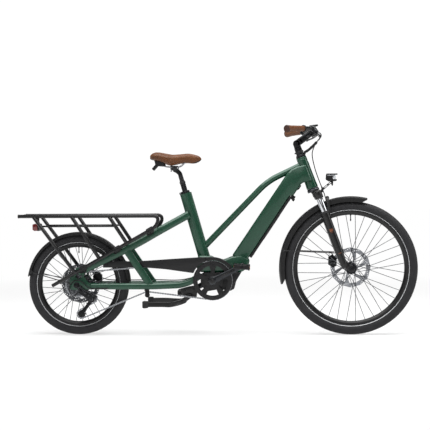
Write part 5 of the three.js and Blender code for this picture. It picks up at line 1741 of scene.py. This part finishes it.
def seatpost():
    post = Shape()
    post.rod(seat(0, 0, -190), seat(0, 0, 60.4), 13.8, None, 1.2, 48)
    post.rod(seat(0, 0, 54), seat(0, 0, 103), 11.2, None, 0.8, 40)
    neck = smooth([seat(0, 0, 92), seat(0, 0, 103), at(-203, 828), at(-216, 837)], 16)
    post.sweep(neck, oval(11, 11, 36, 2.3), 1.0, [1 + 0.12 * i / 16 for i in range(17)])
    post.piece("seatpost_tube", "seat", FORGED, ["seatpost"])
    collar = Shape()
    collar.lathe([(13, 52), (14.5, 52), (15, 53.2), (15, 60), (14.2, 63.4), (11.4, 65), (11, 62)], SEAT_TOP,
                 SEAT_UP, 48, closed=True)
    for k in range(6):
        up = 66 + 4.4 * k
        collar.lathe([(10.6, up), (12.6, up + 1.1), (12.6, up + 2.3), (10.6, up + 3.4)], SEAT_TOP, SEAT_UP,
                     40, closed=True)
    collar.piece("seatpost_bellows", "seat", RUBBER, slot="black_plastic")
    head = Shape()
    head.sweep([at(-241, 843.4), at(-220, 841), at(-199, 839)], rounded_box(46, 9, 3.4), 1.6)
    head.across(-218, 834, -19, 19, 9.5, 1.4, 36)
    for side in SIDES:
        head.sweep([at(-240, 855, side * 22), at(-220, 854, side * 22), at(-200, 853.4, side * 22)],
                   rounded_box(15, 8, 3), 1.6)
        head.bar(at(-222, 834, side * 16), at(-220, 852, side * 22), 9, 22, 3)
    head.piece("seatpost_head", "seat", BLACK)
    bolts = Shape()
    for x in (-238, -202):
        bolts.rod(at(x, 829), at(x + 1, 851), 2.6, None, 0.5, 16)
        bolts.bolt(at(x, 832), -UP, 4.4, 3.4)
    bolts.piece("seatpost_bolts", "seat", STEEL)
    clamp = Shape()
    clamp.lathe([(15.2, -1), (21.5, -1), (22.6, 1), (22.6, 11), (21.4, 12.6), (15.2, 12.6)], SEAT_TOP,
                SEAT_UP, 56, closed=True)
    ear = seat(-25, 0, 6)
    for side in SIDES:
        clamp.sweep([ear + SIDE * side * 3 + SEAT_UP * -5.5, ear + SIDE * side * 3 + SEAT_UP * 5.5],
                    rounded_box(4.4, 13, 2), 1)
    clamp.piece("seat_clamp_band", "frame", FORGED, ["seat_clamp"])
    bolt = Shape()
    bolt.across(ear.x - 1, ear.z, -8, 8, 2.8, 0.5, 20)
    bolt.bolt(at(ear.x - 1, ear.z, -7), -SIDE, 4.6, 3.6)
    bolt.piece("seat_clamp_bolt", "frame", STEEL)


def grips():
    for side, name in ((RIGHT, "grip_right"), (LEFT, "grip_left")):
        pad = soft_piece(name + "_cover", name, "cockpit", 2.4, 10, 3.0, 1.5)
        inner, outer = at(434, 1033.9, side * 184.5), at(350, 1028.5, side * 291.5)
        along = (outer - inner).normalized()
        ring = Shape()
        ring.lathe([(12, 0), (16.4, 0), (17.2, 1.2), (17.2, 8), (16.2, 9.4), (12, 9.4)],
                   inner - along * 2.5, along, 40, closed=True)
        ring.bolt(inner + along * 2.2 - UP * 15, -UP, 2.6, 3)
        ring.piece(name + "_lock_ring", "cockpit", FORGED)
        cap = Shape()
        cap.lathe([(0, 0), (17.4, 0), (18.8, 1.2), (18.4, 4.4), (15.4, 6.6), (12.6, 6.2), (0, 6.2)],
                  outer - along * 4.2, along, 48)
        cap.piece(name + "_end_cap", "cockpit", DARK_LEATHER)
        seam = []
        for i in range(101):
            p = inner.lerp(outer, 0.06 + 0.86 * i / 100)
            spot = surface_point(pad, p - UP * 60 - along.cross(UP) * 4, UP)
            if spot:
                seam.append(spot)
        thread = Shape()
        stitches(thread, [s - UP * 0.1 for s in seam], 2.6, 1.6, 0.42)
        thread.piece(name + "_stitching", "cockpit", THREAD)


# ------------------------------------------------------------------------------------ stage and light
def area_light(name, place, aim, wide, tall, watts):
    data = bpy.data.lights.new(name, "AREA")
    data.shape = "RECTANGLE"
    data.size, data.size_y = wide, tall
    data.energy = watts
    lamp = bpy.data.objects.new(name, data)
    bpy.context.scene.collection.objects.link(lamp)
    lamp.location = place
    lamp.rotation_euler = (Vector(aim) - Vector(place)).to_track_quat("-Z", "Y").to_euler()


WORLD_ON_OBJECTS = 0.13  # how strongly the white world lights the bicycle
WORLD_SEEN = 1.05  # and how bright the camera sees it


def stage():
    """A pale floor that fades into a white world, and five soft lights."""
    floor_mesh = bmesh.new()
    bmesh.ops.create_circle(floor_mesh, cap_ends=True, segments=96, radius=40)
    data = bpy.data.meshes.new("floor")
    floor_mesh.to_mesh(data)
    floor_mesh.free()
    floor = bpy.data.objects.new("floor", data)
    bpy.context.scene.collection.objects.link(floor)
    g = Graph("pale_floor")
    g.set(Base_Color=rgb(250, 250, 250), Roughness=0.9, Specular_IOR_Level=0.1,
          Normal=g.bump(g.noise(60), 0.05))
    distance = g.add("VectorMath", {0: g.place}, operation="LENGTH").outputs["Value"]
    glow = g.add("Emission", {"Color": (1, 1, 1, 1), "Strength": 1.0}).outputs["Emission"]
    far = g.ramp(distance, 1.6, 4.5, 0.55, 1.0)
    mixed = g.add("MixShader", {0: far, 1: g.shader.outputs["BSDF"], 2: glow}).outputs["Shader"]
    g.tree.links.new(mixed, g.tree.nodes["Material Output"].inputs["Surface"])
    data.materials.append(g.material)

    world = bpy.data.worlds.new("studio")
    bpy.context.scene.world = world
    world.use_nodes = True
    nodes, links = world.node_tree.nodes, world.node_tree.links
    back = nodes["Background"]
    back.inputs["Color"].default_value = (1, 1, 1, 1)
    seen = nodes.new("ShaderNodeLightPath")
    strength = nodes.new("ShaderNodeMapRange")
    links.new(seen.outputs["Is Camera Ray"], strength.inputs["Value"])
    strength.inputs["To Min"].default_value = WORLD_ON_OBJECTS
    strength.inputs["To Max"].default_value = WORLD_SEEN
    links.new(strength.outputs["Result"], back.inputs["Strength"])

    area_light("top_softbox", (0.1, -0.5, 3.4), (0, 0, 0.3), 4.6, 3.2, 215)
    area_light("front_softbox", (-0.6, -4.6, 2.6), (0, 0, 0.55), 3.6, 1.6, 36)
    area_light("back_softbox", (0.4, 4.6, 2.4), (0, 0, 0.55), 3.6, 1.6, 36)
    area_light("nose_softbox", (4.4, -0.4, 1.8), (0.3, 0, 0.6), 1.4, 2.2, 34)
    area_light("tail_softbox", (-4.4, 0.4, 1.8), (-0.3, 0, 0.6), 1.4, 2.2, 34)
    bpy.context.scene.view_settings.view_transform = "Standard"


frame_tubes()
battery()
drive_unit()
kickstand()
rack()
tail_light()
mudguards()
wheels()
chain()
chainset()
pedals()
cassette()
derailleur()
fork()
headlight()
stem()
handlebar()
levers()
cables()
calipers()
seatpost()
saddle()
grips()
stage()
